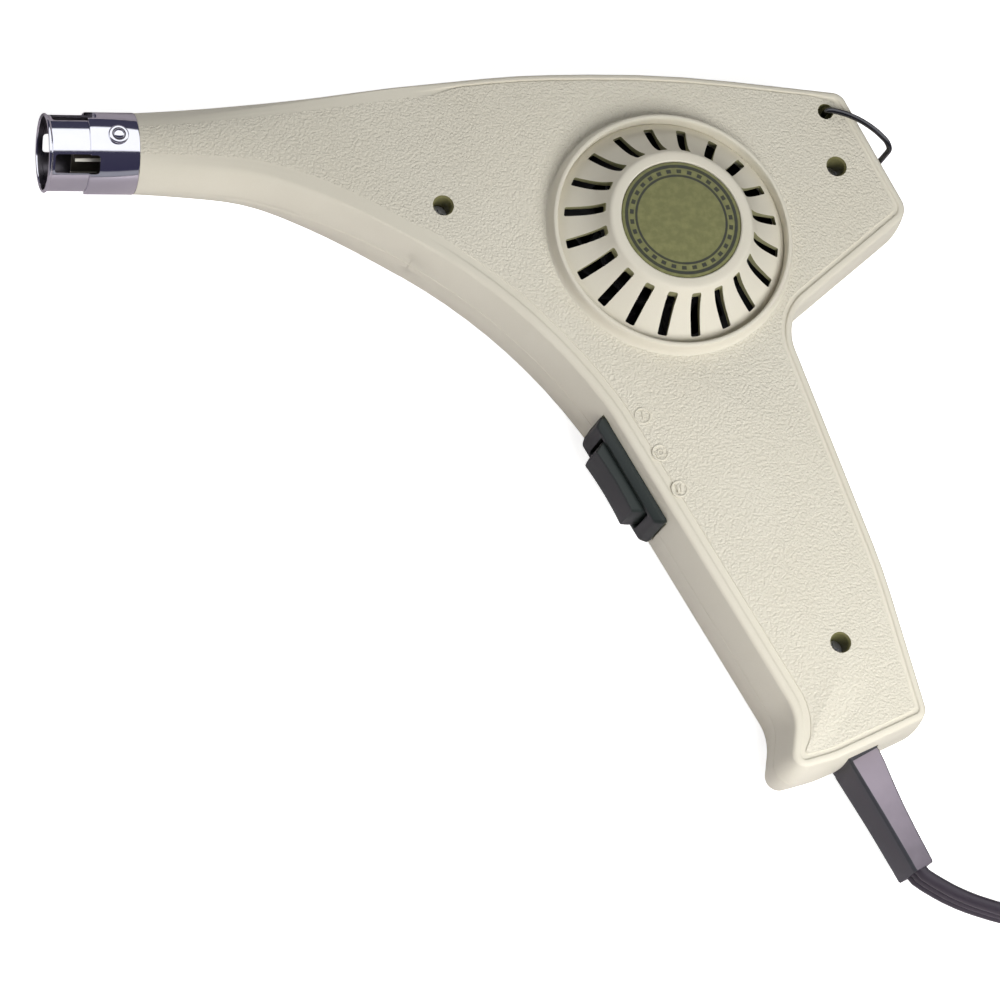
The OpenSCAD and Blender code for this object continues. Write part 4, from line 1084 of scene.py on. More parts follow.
@dataclass(frozen=True)
class Cord:
    """The flat three-core cord, its coil, tie, plug and strain relief.

    Attributes:
        width: Width of the cord, which stands upright.
        thick: Its thickness.
        coil_radius: Mean radius of the coil.
        turns: Turns of the coil.
        gap: Space between turns and between the two layers.
        floor_gap: Space under the lower layer.
        relief_drop: How far the relief's tip hangs below its root.
        relief_bow: How far the relief's middle leans to its front edge.
        half_in: Half the relief's depth across the grip, at its root.
        half_up: Half the relief's height, at its root.
        plug_start: Distance of the plug from the coil's middle, along Y.
        plug_height: Height of the plug's middle over the floor.
    """

    width: float = 9.3
    thick: float = 3.3
    coil_radius: float = 50.0
    turns: float = 5.25
    gap: float = 0.6
    floor_gap: float = 0.9
    relief_drop: float = 2.0
    relief_bow: float = 0.6
    half_in: float = 4.4
    half_up: float = 6.9
    plug_start: float = 25.0
    plug_height: float = 12.5

    @property
    def pitch(self) -> float:
        """Distance between neighbouring turns."""
        return self.thick + self.gap

    @property
    def layer(self) -> float:
        """Height of the upper layer's middle over the lower one's."""
        return self.width + self.gap

    @property
    def low(self) -> float:
        """Height of the cord's middle on the lower layer, in the tool's frame."""
        return self.width / 2 + self.floor_gap - FOOT_Z

    @property
    def outer(self) -> float:
        """Radius of the outermost turn."""
        return self.coil_radius + self.pitch * self.turns / 4

    @property
    def centre(self) -> Array:
        """Centre of the coil, whose outermost turn begins where the free cord ends."""
        return np.array([305.0, -206 + self.outer])

    def section(self) -> Array:
        """Outline of three round cores side by side, one above the other, with a narrow web between them.

        Each core is an arc of a circle of half the cord's thickness, cut where the next core's arc begins.

        Returns:
            Points x, y.
        """
        r, step = self.thick / 2, (self.width - self.thick) / 2
        cut = np.arccos(step / 2 / r)
        top = np.linspace(-cut, np.pi + cut, 13)
        side = np.linspace(cut - np.pi / 2, np.pi / 2 - cut, 5)
        upper = np.stack([r * np.cos(top), step + r * np.sin(top)], axis=-1)
        left = np.stack([-r * np.cos(side), -r * np.sin(side)], axis=-1)
        return np.concatenate([upper, left, -upper, -left])

    def coil_points(self) -> Array:
        """The put-away coil: inwards on the lower layer, up half-way and outwards on the upper one.

        The radius shrinks by a pitch a turn towards the middle turn, where it dips further to clear both.

        Returns:
            Tool points.
        """
        n = np.linspace(0, self.turns, int(self.turns * 72) + 1)
        away = np.abs(n - self.turns / 2)
        dip = np.where(away < 0.5, 2.6 * np.cos(np.pi * away) ** 2, 0)
        r = self.outer - self.pitch * (self.turns / 2 - away) - dip
        a = np.radians(-90 + 360 * n)
        z = self.low + self.layer * smoothstep((n - self.turns / 2 + 0.25) / 0.5)
        return np.stack([self.centre[0] + r * np.cos(a), self.centre[1] + r * np.sin(a), z], axis=-1)

    def bow(self, share: Array | float) -> Array:
        """How far the relief's middle leans to its front edge along its length."""
        return self.relief_bow * np.interp(share, [0, 0.12, 0.4, 0.7, 1], [0, 0.2, 1, 1.15, 1])

    def route(self) -> Array:
        """The whole route: through the relief, down to the floor, round the coil and into the plug.

        The free stretch and the tail are given points, as x, y and height over the floor.

        Returns:
            Tool points.
        """
        share = np.linspace(0, 1, 6)
        fall = -self.relief_drop * np.array([0, 0.05, 0.2, 0.45, 0.75, 1.0])
        relief = GRIP.solid(RELIEF_START + RELIEF_LENGTH * share, RELIEF_ACROSS - self.bow(share), fall)
        free = [
            [210.6, -192.35, 13.5], [213.3, -194.15, 13.3], [217.7, -196.5, 12.6], [222.6, -198.5, 11.8],
            [227.3, -199.9, 10.9], [232, -201.1, 10], [238, -202.3, 9], [246, -203.5, 8], [255, -204.5, 7.2],
            [265, -205.2, 6.5], [276, -205.7, 6], [285, -205.9, 5.7], [291, -206, 5.55], [295.2, -206, 5.55],
            [300.1, -206, 5.55],
        ]
        x, y = self.centre[0] + self.outer, self.centre[1]
        end, high = y + self.plug_start + 0.5, self.plug_height
        tail = [[x, y + 7, 14.2], [x, y + 12, 12.9], [x, y + 15, high], [x, end, high]]
        floor = np.array([0, 0, FOOT_Z])
        return np.concatenate([relief, np.array(free) - floor, self.coil_points(), np.array(tail) - floor])

    def relief(self, palette: Palette) -> bpy.types.Object:
        """The tapered relief: rounded boxes that narrow along the route, and a flanged root in the casing.

        Args:
            palette: The finishes.

        Returns:
            The piece, whose upper faces carry the painted sheen.
        """
        share = np.array([0, 0.02, 0.12, 0.3, 0.5, 0.7, 0.88, 0.985, 1.0])
        half_in = self.half_in * np.array([0.97, 1, 0.965, 0.87, 0.78, 0.735, 0.71, 0.70, 0.66])
        half_up = self.half_up * np.array([0.98, 1, 0.99, 0.965, 0.945, 0.932, 0.925, 0.92, 0.89])
        rings = []
        for s, a, b in zip(share, half_in, half_up):
            box = rounded_box(a, b, 0.9 + 0.2 * s)
            across = RELIEF_ACROSS - self.bow(s) + box[:, 0]
            z = box[:, 1] - self.relief_drop * s**2
            rings.append(GRIP.solid(RELIEF_START + s * RELIEF_LENGTH, across, z))
        shape = Shape().tube(np.array(rings))
        cols, sides = len(rings[0]), (len(rings) - 1) * len(rings[0])
        # The upper faces take the second finish: a painted sheen.
        shape.finish = [int(k < sides and 4 <= k % cols <= 7) for k in range(len(shape.faces))]
        for low, high, grow in ((-6.6, -4.6, 1.6), (-4.7, 0, -0.05)):
            box = rounded_box(self.half_in + grow, self.half_up + grow, 0.8)
            ends = (RELIEF_START + low, RELIEF_START + high)
            shape.tube(np.array([GRIP.solid(at, RELIEF_ACROSS + box[:, 0], box[:, 1]) for at in ends]))
        piece = solid("cord_relief", shape, palette, "relief_rubber", "relief_painted_sheen")
        dress(piece, "casing", "relief_rubber", "strain_relief")
        return piece

    def tie(self, palette: Palette) -> bpy.types.Object:
        """The tie: a flat band round the bundle, its section carried round a rounded box.

        Args:
            palette: The finishes.

        Returns:
            The piece.
        """
        half = self.pitch * self.turns / 4 + self.thick / 2 + 1.0
        high = self.low + FOOT_Z + self.layer + self.width / 2 + 0.5
        a = np.radians(225)
        band = []
        for across, grow in ((-2.6, 0.0), (-2.6, 0.45), (-2.2, 0.55), (2.2, 0.55), (2.6, 0.45), (2.6, 0.0)):
            box = rounded_box(half + grow, high / 2 - 0.1 + grow * 0.2, 2.0 + grow)
            out = self.coil_radius + box[:, 0]
            x = self.centre[0] + out * np.cos(a) - across * np.sin(a)
            y = self.centre[1] + out * np.sin(a) + across * np.cos(a)
            band.append(np.stack([x, y, box[:, 1] + high / 2 + 0.15 - FOOT_Z], axis=-1))
        piece = solid("coil_tie", Shape().tube(np.array(band), closed=True), palette, "paper_tie")
        dress(piece, "casing", "tie", "cord_tie")
        return piece

    def plug(self, palette: Palette) -> bpy.types.Object:
        """The moulded plug: rounded boxes along its length, with a ringed neck and finger ribs.

        Args:
            palette: The finishes.

        Returns:
            The piece.
        """
        along = [0, 1.5, 3, 5, 6.5, 8, 10, 12, 14, *range(18, 28), 36.4, 37.6, 38.0]
        neck_wide = [0.50, 0.53, 0.47, 0.58, 0.52, 0.66, 0.80, 0.93, 0.97, 0.98]
        neck_tall = [0.42, 0.45, 0.40, 0.52, 0.47, 0.62, 0.78, 0.92, 0.97, 0.98]
        ribs = [0.92, 0.92, 0.98, 0.98] * 2
        wide = [*neck_wide, *ribs, 0.99, 0.995, 0.97, 0.90]
        tall = [*neck_tall, *[0.98] * 8, 0.99, 0.995, 0.97, 0.92]
        x0, y0 = self.centre[0] + self.outer, self.centre[1] + self.plug_start
        rings = []
        for at, a, b in zip(along, wide, tall):
            box = rounded_box(9 * a, 12.5 * b, 2.6 * min(a, b))
            x, z = x0 + box[:, 0], self.plug_height - FOOT_Z + box[:, 1]
            rings.append(np.stack([x, np.full(len(box), y0 + at), z], axis=-1))
        piece = solid("plug", Shape().tube(np.array(rings)), palette, "relief_rubber", sharp=50)
        dress(piece, "casing", "relief_rubber", "plug_body")
        return piece

    def build(self, palette: Palette) -> None:
        """Args:
            palette: The finishes.
        """
        path = smooth_path(self.route(), 2.2)
        jacket = solid("power_cord", Shape().tube(sweep(path, self.section())), palette, "cord_jacket")
        dress(jacket, "casing", "cord_rubber", "cord", "cord_coil")
        pieces = [self.relief(palette), self.tie(palette), self.plug(palette)]
        at = PLACE.row(path)


# Casing


@dataclass(frozen=True)
class Outline:
    """The casing's side outline: corners joined by straight edges, each rounded by an arc.

    Attributes:
        corners: Points x, y and rounding radius, clockwise from the top of the barrel's front end.
        spacing: Greatest distance between points on the straight edges.
        turn: Greatest turn between points on an arc, in degrees.
    """

    corners: tuple[tuple[float, float, float], ...]
    spacing: float = 4.0
    turn: float = 3.0

    @classmethod
    def of_tool(cls) -> "Outline":
        """The tool's own outline, from the fan's place and the grip's frame.

        Returns:
            The outline.
        """
        x, y = FAN
        top = ((23, 10.2, 0), (84, 13.7, 250), (x - 36, y + 43.7, 200), (x + 2, y + 44.8, 300))
        rear = ((x + 51, y + 39.9, 4), (x + 65.8, y + 6.6, 5))
        grip = (
            (-1.4, 54.7, 13), (66.9, 42.3, 150), (105.3, 31.7, 3.5), (103.5, 3.8, 30), (100.8, -8.6, 3.5),
            (88.7, 0.8, 13), (0, 0, 60),
        )
        grip = tuple((*(float(v) for v in GRIP.xy(along, across)), r) for along, across, r in grip)
        return cls((*top, *rear, *grip, (x - 49.2, y - 3.8, 136), (52, -11.6, 60), (23, -10.2, 0)))

    def ring(self, grow: float) -> Array:
        """Points of the outline moved outwards, always equally many.

        Each corner moves along its bisector so that both edges move by grow, and its radius grows or shrinks
        to match. An arc turns about the point a radius inside both edges.

        Args:
            grow: Distance outwards, or inwards below 0.

        Returns:
            Points x, y.
        """
        p, r = np.array(self.corners)[:, :2], np.array(self.corners)[:, 2]
        out = np.roll(p, -1, 0) - p
        base = np.linalg.norm(out, axis=1)
        out /= base[:, None]
        into = np.roll(out, 1, 0)
        bend = np.arctan2(into[:, 0] * out[:, 1] - into[:, 1] * out[:, 0], (into * out).sum(1))
        left_in, left_out = (np.stack([-v[:, 1], v[:, 0]], axis=-1) for v in (into, out))
        bisector = (left_in + left_out) / (1 + (left_in * left_out).sum(1, keepdims=True))
        bisector[[0, -1]] = [[0, 1], [0, -1]]
        q = p + grow * bisector
        radius = np.where(r > 0, np.maximum(0.8, r - np.sign(bend) * grow), 0)
        cut = radius * np.tan(np.abs(bend) / 2)
        start, end = q - into * cut[:, None], q + out * cut[:, None]
        middle = start + left_in * (radius * np.sign(bend))[:, None]
        steps = np.maximum(2, np.ceil(np.degrees(np.abs(bend)) / self.turn).astype(int))
        parts = []
        for k in range(len(p)):
            if r[k] > 0:
                t = bend[k] * np.linspace(0, 1, steps[k] + 1)[:, None]
                spoke = start[k] - middle[k]
                parts.append(middle[k] + np.cos(t) * spoke + np.sin(t) * np.array([-spoke[1], spoke[0]]))
            else:
                parts.append(q[k][None])
            if k < len(p) - 1:
                t = np.linspace(0, 1, int(base[k] / self.spacing) + 2)[1:-1, None]
                parts.append(end[k] * (1 - t) + start[k + 1] * t)
        return np.concatenate(parts)

    def edges_at(self, x: Array | float) -> tuple[Array, Array]:
        """Heights Y of the barrel's top and bottom edges at places along X.

        Args:
            x: Places along X.

        Returns:
            Heights of the top edge and of the bottom edge.
        """
        top, low = np.split(self.ring(0.0), [len(self.ring(0.0)) // 2])
        low = low[np.argsort(low[:, 0])]
        return np.interp(x, top[:, 0], top[:, 1]), np.interp(x, low[:, 0], low[:, 1])


@dataclass(frozen=True)
class Barrel:
    """Sections of the barrel: they blend from a circle at its front to the body's own section at the join.

    Attributes:
        stations: Places of the sections along X.
        share: Share of the body's section in each, the smooth step of the way along.
        top: Heights of the top edge.
        low: Heights of the bottom edge.
        front: Radius of the front circle.
    """

    stations: Array
    share: Array
    top: Array
    low: Array
    front: float = 10.2

    @classmethod
    def of_outline(cls, outline: Outline, join: float) -> "Barrel":
        """The sections between the outline's front end and the join.

        Args:
            outline: The side outline.
            join: Where the barrel ends, along X.

        Returns:
            The sections.
        """
        stations = np.linspace(outline.corners[0][0], join, 40)
        share = smoothstep((stations - stations[0]) / (join - stations[0]))
        return cls(stations, share, *outline.edges_at(stations))

    def line(self, angle: Array | float, body_y: Array, body_z: float) -> Array:
        """Points of the sections at one place round each.

        Args:
            angle: The place's angle on the circle, from the top.
            body_y: Its height Y on the body's section.
            body_z: Its height Z on the body's section.

        Returns:
            The circle's and the body's points, mixed by share.
        """
        mid, half = (self.top + self.low) / 2, (self.top - self.low) / 2
        deep = self.front + (SIDE_Z - self.front) * self.share
        y = (mid + half * np.cos(angle)) * (1 - self.share) + body_y * self.share
        z = deep * np.sin(angle) * (1 - self.share) + body_z * self.share
        return np.stack(np.broadcast_arrays(self.stations, y, z), axis=-1)


@dataclass(frozen=True)
class Casing:
    """The two shells, the intake grille, the hub's disc and the marks beside the switch.

    Attributes:
        crown: How far the wall swells at the parting line.
        edge: Rounding of the edge.
        panel: Height of the grained panel.
        channel: Depth of the channel round the panel.
        border: Width of the border from the edge to the panel.
        front_more: How much wider it is along the grip's front edge.
        top_less: How much narrower it is along the top edge.
        join: Place along X where the barrel joins the flat-sided body.
        wall: Wall thickness.
        hollow: Height of the hollow inside each shell.
        bore_radii: Radii of the barrel's front and rear bores.
        screws: Places of the screws.
        slots: Number of the grille's slots.
        sharp: Edges that turn by more than this many degrees stay sharp.
        outline: The side outline.
    """

    crown: float = 1.2
    edge: float = 1.2
    panel: float = 11.82
    channel: float = 0.3
    border: float = 1.9
    front_more: float = 1.4
    top_less: float = 1.1
    join: float = 92.0
    wall: float = 1.9
    hollow: float = 9.8
    bore_radii: tuple[float, float] = (8.65, 9.85)
    screws: tuple[tuple[float, float], ...] = ((99.2, -18.0), (205.4, -6.3), (191.237, -134.569))
    slots: int = 20
    sharp: float = 30.0
    outline: Outline = field(default_factory=Outline.of_tool)

    WALL_STEPS = (0.15, 0.3, 0.45, 0.6, 0.75, 0.88)

    def levels(self) -> list[tuple[float, float, float]]:
        """The wall's levels, from the parting line to the panel.

        The wall swells by the crown times a cosine of its height. A crest runs along the edge, then a
        channel, and then the crisp edge of the panel.

        Returns:
            Outward offset, height and share of the border's width of each level.
        """
        top, floor = SIDE_Z - self.edge, self.panel - self.channel
        wall = [(self.crown - 0.16, 0.0, 0.0), (self.crown, 0.18, 0.0)]
        wall += [(self.crown * np.cos(np.pi / 2 * s) ** 0.9, float(s * top), 0.0) for s in self.WALL_STEPS]
        for a in np.radians((0, 15, 30, 45, 60, 75, 90)):
            wall.append((self.edge * (np.cos(a) - 1), top + self.edge * np.sin(a), 0.0))
        crest = ((0.20, SIDE_Z), (0.28, SIDE_Z - 0.04), (0.35, SIDE_Z - 0.16), (0.42, floor + 0.08))
        channel = ((0.50, floor), (0.90, floor), (0.94, floor + 0.03))
        rim = ((0.975, self.panel - 0.04), (1.0, self.panel))
        return wall + [(-self.edge, z, share) for share, z in crest + channel + rim]

    def angles(self) -> Array:
        """Each level's angle on the barrel's front circle, from 0 at the parting line to 68 degrees."""
        wall = [0, 0.9] + [48 * s for s in self.WALL_STEPS] + list(np.linspace(48, 58, 7))
        return np.radians(wall + list(np.linspace(59, 68, len(self.levels()) - len(wall))))

    def border_width(self, xy: Array) -> Array:
        """Width of the border at points of the outline: its changes fade over 7 to 10 mm by smooth steps.

        Args:
            xy: Points of the outline.

        Returns:
            A width for each point.
        """
        along, across = GRIP.places(xy)
        front = smoothstep((12 - across) / 10) * (1 - smoothstep((along - 93) / 8))
        before_rear = 1 - smoothstep((xy[:, 0] - FAN[0] - 42) / 8)
        top = self.top_less * smoothstep((xy[:, 1] - 6) / 7) * before_rear
        return self.border + self.front_more * front - top

    def inset(self, offset: float, extra: Array, body: Array) -> Array:
        """Body points of the outline moved by an offset and then inwards by a width of their own.

        Args:
            offset: Distance outwards that all points share.
            extra: Distance inwards of each point.
            body: Numbers of the body's points in the outline.

        Returns:
            Points mixed from two whole outlines, one at the least width and one at the greatest.
        """
        narrow, wide = float(extra.min()), float(extra.max())
        a, b = self.outline.ring(offset - narrow)[body], self.outline.ring(offset - wide)[body]
        u = ((extra - narrow) / max(wide - narrow, 1e-9))[:, None]
        return a * (1 - u) + b * u

    @staticmethod
    def closed(rings: Array, cap: Array) -> Shape:
        """Closes a shell's levels to a solid.

        Args:
            rings: The levels: along the barrel's top, round the body and back along the barrel's bottom.
            cap: Lines along the barrel's side, from the last level's top line to its bottom line.

        Returns:
            The solid, with the panel and the barrel's side in the second finish.
        """
        rows, cols = rings.shape[:2]
        n = cap.shape[1]
        shape = Shape().add(rings, grid_faces(rows, cols, wrap=False))
        numbers = np.arange(shape.count).reshape(rows, cols)
        inner = shape.count + np.arange((len(cap) - 2) * n).reshape(-1, n)
        shape.add(cap[1:-1], [])
        lines = np.concatenate([numbers[-1:, :n], inner, numbers[-1:, : -n - 1 : -1]])
        corners = [lines[:-1, :-1], lines[:-1, 1:], lines[1:, 1:], lines[1:, :-1]]
        patch = np.stack(corners, axis=-1).reshape(-1, 4)
        panel = [*numbers[-1, n - 1 : cols - n + 1], *lines[-2:0:-1, -1]]
        nose = [*numbers[:, 0], *lines[1:-1, 0], *numbers[::-1, -1]]
        return shape.fill([*patch, panel], 1).fill([numbers[0, ::-1], nose])

    def shell(self, name: str, palette: Palette, side: int) -> bpy.types.Object:
        """Half of the casing, hollowed and bored.

        Over the body each level is the outline at its offset. Behind the join the border's levels rise from
        the panel's height to their own by a smooth step.

        Args:
            name: The piece's name.
            palette: The finishes.
            side: 1 for the half that faces up, -1 for the other.

        Returns:
            The shell without its boss, posts and openings.
        """
        zero = self.outline.ring(0.0)
        beyond = np.flatnonzero(zero[:, 0] > self.join + 0.5)
        body = np.arange(beyond[0], beyond[-1] + 1)
        width = self.border_width(zero[body])
        rise = smoothstep((zero[body, 0] - self.join) / 16)
        barrel = Barrel.of_outline(self.outline, self.join)
        angles = self.angles()
        rings = []
        for (offset, z, share), angle in zip(self.levels(), angles):
            in_border = bool(share) or z > self.panel
            height = self.panel + (z - self.panel) * rise if in_border else np.full(len(body), z)
            middle = np.concatenate([self.inset(offset, share * width, body), height[:, None]], axis=-1)
            side_z = self.panel if share else min(z, self.panel)
            upper = barrel.line(angle, barrel.top + offset - share * width[0], side_z)
            under = barrel.line(np.pi - angle, barrel.low - offset + share * width[-1], side_z)
            rings.append(np.concatenate([upper, middle, under[::-1]]))
        u = np.linspace(0, 1, 15)[:, None]
        y0, y1 = barrel.top - self.edge - width[0], barrel.low + self.edge + width[-1]
        cap = barrel.line(angles[-1] + (np.pi - 2 * angles[-1]) * u, y0 + (y1 - y0) * u, self.panel)
        shape = self.closed(np.array(rings), cap)
        shape.points = [points * np.array([1, 1, side]) for points in shape.points]
        # The third and fourth finishes are painted shade, for the openings' walls and the boss's inner wall.
        finishes = ("casing_smooth", "casing_pebbled", "casing_hollow_shade", "slot_wall_shade")
        piece = solid(name, shape, palette, *finishes, sharp=self.sharp)
        return combine(piece, Joining.CUT, self.cavity(side), *self.bores(), sharp=self.sharp)

    def cavity(self, side: int) -> Shape:
        """What hollows a shell: the outline moved in by the wall, behind the join.

        Args:
            side: 1 for the half that faces up, -1 for the other.

        Returns:
            The cut.
        """
        ring = self.outline.ring(-self.wall)
        top, low = self.outline.edges_at(self.join)
        ends = [[self.join, top - self.wall]], [[self.join, low + self.wall]]
        line = np.concatenate([ends[0], ring[ring[:, 0] > self.join + 1], ends[1]])[::-1]
        heights = (-1.0, self.hollow) if side > 0 else (-self.hollow, 1.0)
        return Shape().tube(np.array([at_height(line, z) for z in heights]))

    def bores(self) -> list[Shape]:
        """The barrel's front bore and the wider rear one."""
        spans = (20, 64), (48, 101)
        return [Shape().tube(cylinder(r, *x, axis=Axis.X, steps=64)) for r, x in zip(self.bore_radii, spans)]

    def posts(self, screw: tuple[float, float], bail: tuple[float, float]) -> Shape:
        """Posts for the screws and for the bail, each between two heights.

        Args:
            screw: Heights of the screws' posts.
            bail: Heights of the bail's post.

        Returns:
            The posts.
        """
        shape = Shape()
        for at in self.screws:
            shape.tube(cylinder(4.1, *screw, at))
        return shape.tube(cylinder(3.2, *bail, BAIL_PIVOT))

    def openings(self, side: int) -> list[Shape]:
        """Cuts for the screws, the bail, the switch and the strain relief.

        Args:
            side: 1 for the half that faces up, -1 for the other.

        Returns:
            The cuts, one after the other.
        """
        heads = Shape()
        deep_hole = np.array([[1.5, -1], [1.5, 4], [2.4, 4], [2.4, 11.2], [2.75, 11.75], [2.9, 13]])
        for at in self.screws:
            hole = lathe(deep_hole, (*at, 0), steps=40)
            heads.tube(hole if side > 0 else cylinder(1.25, -9.0, 1, at, steps=32))
        pivot = np.array([[0.8, 4.0], [0.8, 8.4], [2.0, 8.4], [2.0, 11.6], [2.3, 12.1], [2.4, 13]])
        if side < 0:
            pivot = (pivot * np.array([1, -1]))[::-1]
        eye = Shape().tube(lathe(pivot, (*BAIL_PIVOT, 0), steps=40))
        at, across = SWITCH_ALONG, RELIEF_ACROSS
        seat = block((at - 15.9, -6, -8.3), (at + 15.9, -0.5, 8.3), GRIP.solid)
        pocket = block((at - 14, -5, -6.75), (at + 14, 17.5, 6.75), GRIP.solid)
        slot = block((96.5, across - 4.5, -7.0), (114.5, across + 4.5, 7.0), GRIP.solid)
        return [heads, eye, seat, pocket, slot]

    def left(self, palette: Palette) -> None:
        """The shell that faces up, with the round boss for the grille.

        Args:
            palette: The finishes.
        """
        piece = self.shell("left_casing", palette, 1)
        boss = np.array([
            [27.4, 9.9], [33.6, 9.9], [33.6, 11.4], [33.1, 11.62], [32.7, 11.95], [32.35, 12.5],
            [32.05, 13.4], [31.85, 14.4], [31.7, 15.1], [31.5, 15.45], [31.15, 15.6], [30.9, 15.6],
            [30.6, 15.45], [30.45, 15.1], [30.4, 14.5], [30.4, 11.0], [28.8, 11.0],
        ])
        rim = Shape().tube(lathe(boss, (*FAN, 0), steps=192), closed=True)
        seat = Shape().tube(cylinder(30.4, 11.0, 20, FAN, steps=192))
        opening = Shape().tube(cylinder(28.8, 5.0, 20, FAN, steps=96))
        combine(piece, Joining.WELD, rim, sharp=self.sharp)
        # The boss's inner wall takes finish 3: painted shade.
        combine(piece, Joining.CUT, seat, sharp=self.sharp, finish=3)
        combine(piece, Joining.CUT, opening, sharp=self.sharp)
        combine(piece, Joining.WELD, self.posts((0, 10.0), (3.0, 11.0)), sharp=self.sharp)
        # The openings' walls take finish 2: painted shade.
        combine(piece, Joining.CUT, *self.openings(1), sharp=self.sharp, finish=2)
        dress(piece, "casing", "casing", "left_shell")

    def right(self, palette: Palette) -> None:
        """The shell that faces down, with the round foot over the fan.

        Args:
            palette: The finishes.
        """
        piece = self.shell("right_casing", palette, -1)
        foot = np.array([
            [20.0, -10.0], [36.4, -10.0], [36.4, -11.5], [36.0, -11.75], [35.75, -12.2], [35.2, -14.2],
            [34.95, -15.1], [34.6, -15.45], [34.1, -FOOT_Z], [20.0, -FOOT_Z],
        ])
        pan = Shape().tube(lathe(foot, (*FAN, 0), steps=192), closed=True)
        inside = Shape().tube(cylinder(33.3, -13.4, -5, FAN, steps=192))
        middle = Shape().tube(cylinder(21.0, -FOOT_Z, -13.4, FAN, steps=96))
        combine(piece, Joining.WELD, pan, sharp=self.sharp)
        combine(piece, Joining.CUT, inside, sharp=self.sharp)
        combine(piece, Joining.WELD, middle, self.posts((-10.0, -0.05), (-11.0, -3.0)), sharp=self.sharp)
        # The openings' walls take finish 2: painted shade.
        combine(piece, Joining.CUT, *self.openings(-1), sharp=self.sharp, finish=2)
        dress(piece, "casing", "casing", "right_shell")

    def grille(self, palette: Palette) -> None:
        """The slotted dome: a turned wall, with a ring of slots that reach up to the hub.

        Args:
            palette: The finishes.
        """
        flank = [
            [30.35, 11.05], [30.35, 12.0], [30.1, 12.3], [29.5, 12.6], [28.6, 13.2], [27.3, 13.9],
            [26, 14.7], [24.7, 15.55], [23.5, 16.45], [22.4, 17.4], [21.5, 18.35], [20.75, 19.3],
            [20.1, 20.25], [19.6, 21.0],
        ]
        hub = [
            [19.25, 21.6], [19.0, 22.0], [18.75, 22.35], [18.35, 22.58], [17.8, 22.66], [16.5, 22.66],
            [16.1, 22.6], [15.85, 22.4], [15.8, 21.6], [1.0, 21.6], [1.0, 20.4],
        ]
        inside = [
            [17.6, 20.4], [18.5, 19.9], [19.4, 18.6], [20.6, 17.0], [22.0, 15.6], [24.2, 14.1], [27.3, 12.3],
            [28.85, 11.3], [28.85, 11.05],
        ]
        shape = Shape().tube(lathe(np.array(flank + hub + inside), (*FAN, 0), steps=180), closed=True)
        piece = solid("intake_dome", shape, palette, "casing_smooth", "slot_wall_shade", sharp=self.sharp)
        floor = Shape().tube(cylinder(1.2, 20.1, 21.6, FAN, steps=24))
        combine(piece, Joining.WELD, floor, sharp=self.sharp)
        inner_end, outer_end, half, first = 19.55, 28.4, 1.27, 6.9
        middle = np.array([(outer_end + inner_end) / 2, 0])
        slot = rounded_box((outer_end - inner_end) / 2, half, 0.4, 4) + middle
        slots = Shape()
        for k in range(self.slots):
            xy = slot @ turn(np.radians(first + 360 / self.slots * k)) + FAN
            slots.tube(np.array([at_height(xy, z) for z in (9.0, 24.0)]))
        # The slots' walls take the second finish: painted shade.
        combine(piece, Joining.CUT, slots, sharp=self.sharp, finish=1)
        dress(piece, "casing", "casing", "intake_grille")

    def disc(self, palette: Palette) -> None:
        """The printed disc on the hub, with a turned-down rim.

        Args:
            palette: The finishes.
        """
        profile = np.array([
            [0.05, 21.62], [15.6, 21.62], [15.7, 21.75], [15.7, 22.1], [15.55, 22.26], [15.2, 22.32],
            [0.05, 22.34],
        ])
        shape = Shape().tube(lathe(profile, (*FAN, 0), steps=128))
        piece = solid("hub_disc", shape, palette, "printed_badge")
        dress(piece, "casing", "badge", "hub_plate")

    def marks(self, palette: Palette) -> None:
        """Raised rings beside the switch that hold one bar, a ring and two bars.

        Args:
            palette: The finishes.
        """
        low, high = self.panel - 0.1, self.panel + 0.24
        near = high - 0.04
        rim = np.array([[1.75, low], [1.82, near], [1.9, high], [2.1, high], [2.18, near], [2.25, low]])
        small = np.array([[0.55, low], [0.62, high], [0.9, high], [0.97, low]])
        bar = rounded_box(0.17, 0.95, 0.1, 3)
        shape = Shape()
        for at, bars in (((145.8, -74.4), (0.0,)), ((149.4, -84.2), ()), ((153.4, -93.8), (-0.45, 0.45))):
            shape.tube(lathe(rim, (*at, 0), steps=40), closed=True)
            if not bars:
                shape.tube(lathe(small, (*at, 0), steps=28), closed=True)
            for shift in bars:
                middle = np.array(at) + [shift, 0]
                ends = [at_height(middle + bar * grow, z) for grow, z in ((1.15, low), (1, high))]
                shape.tube(np.array(ends))
        piece = solid("position_marks", shape, palette, "casing_smooth")
        dress(piece, "casing", "casing")

    def build(self, palette: Palette) -> None:
        """Makes the casing's pieces.

        Args:
            palette: The finishes.
        """
        self.left(palette)
        self.right(palette)
        self.grille(palette)
        self.disc(palette)
        self.marks(palette)


# Nozzle


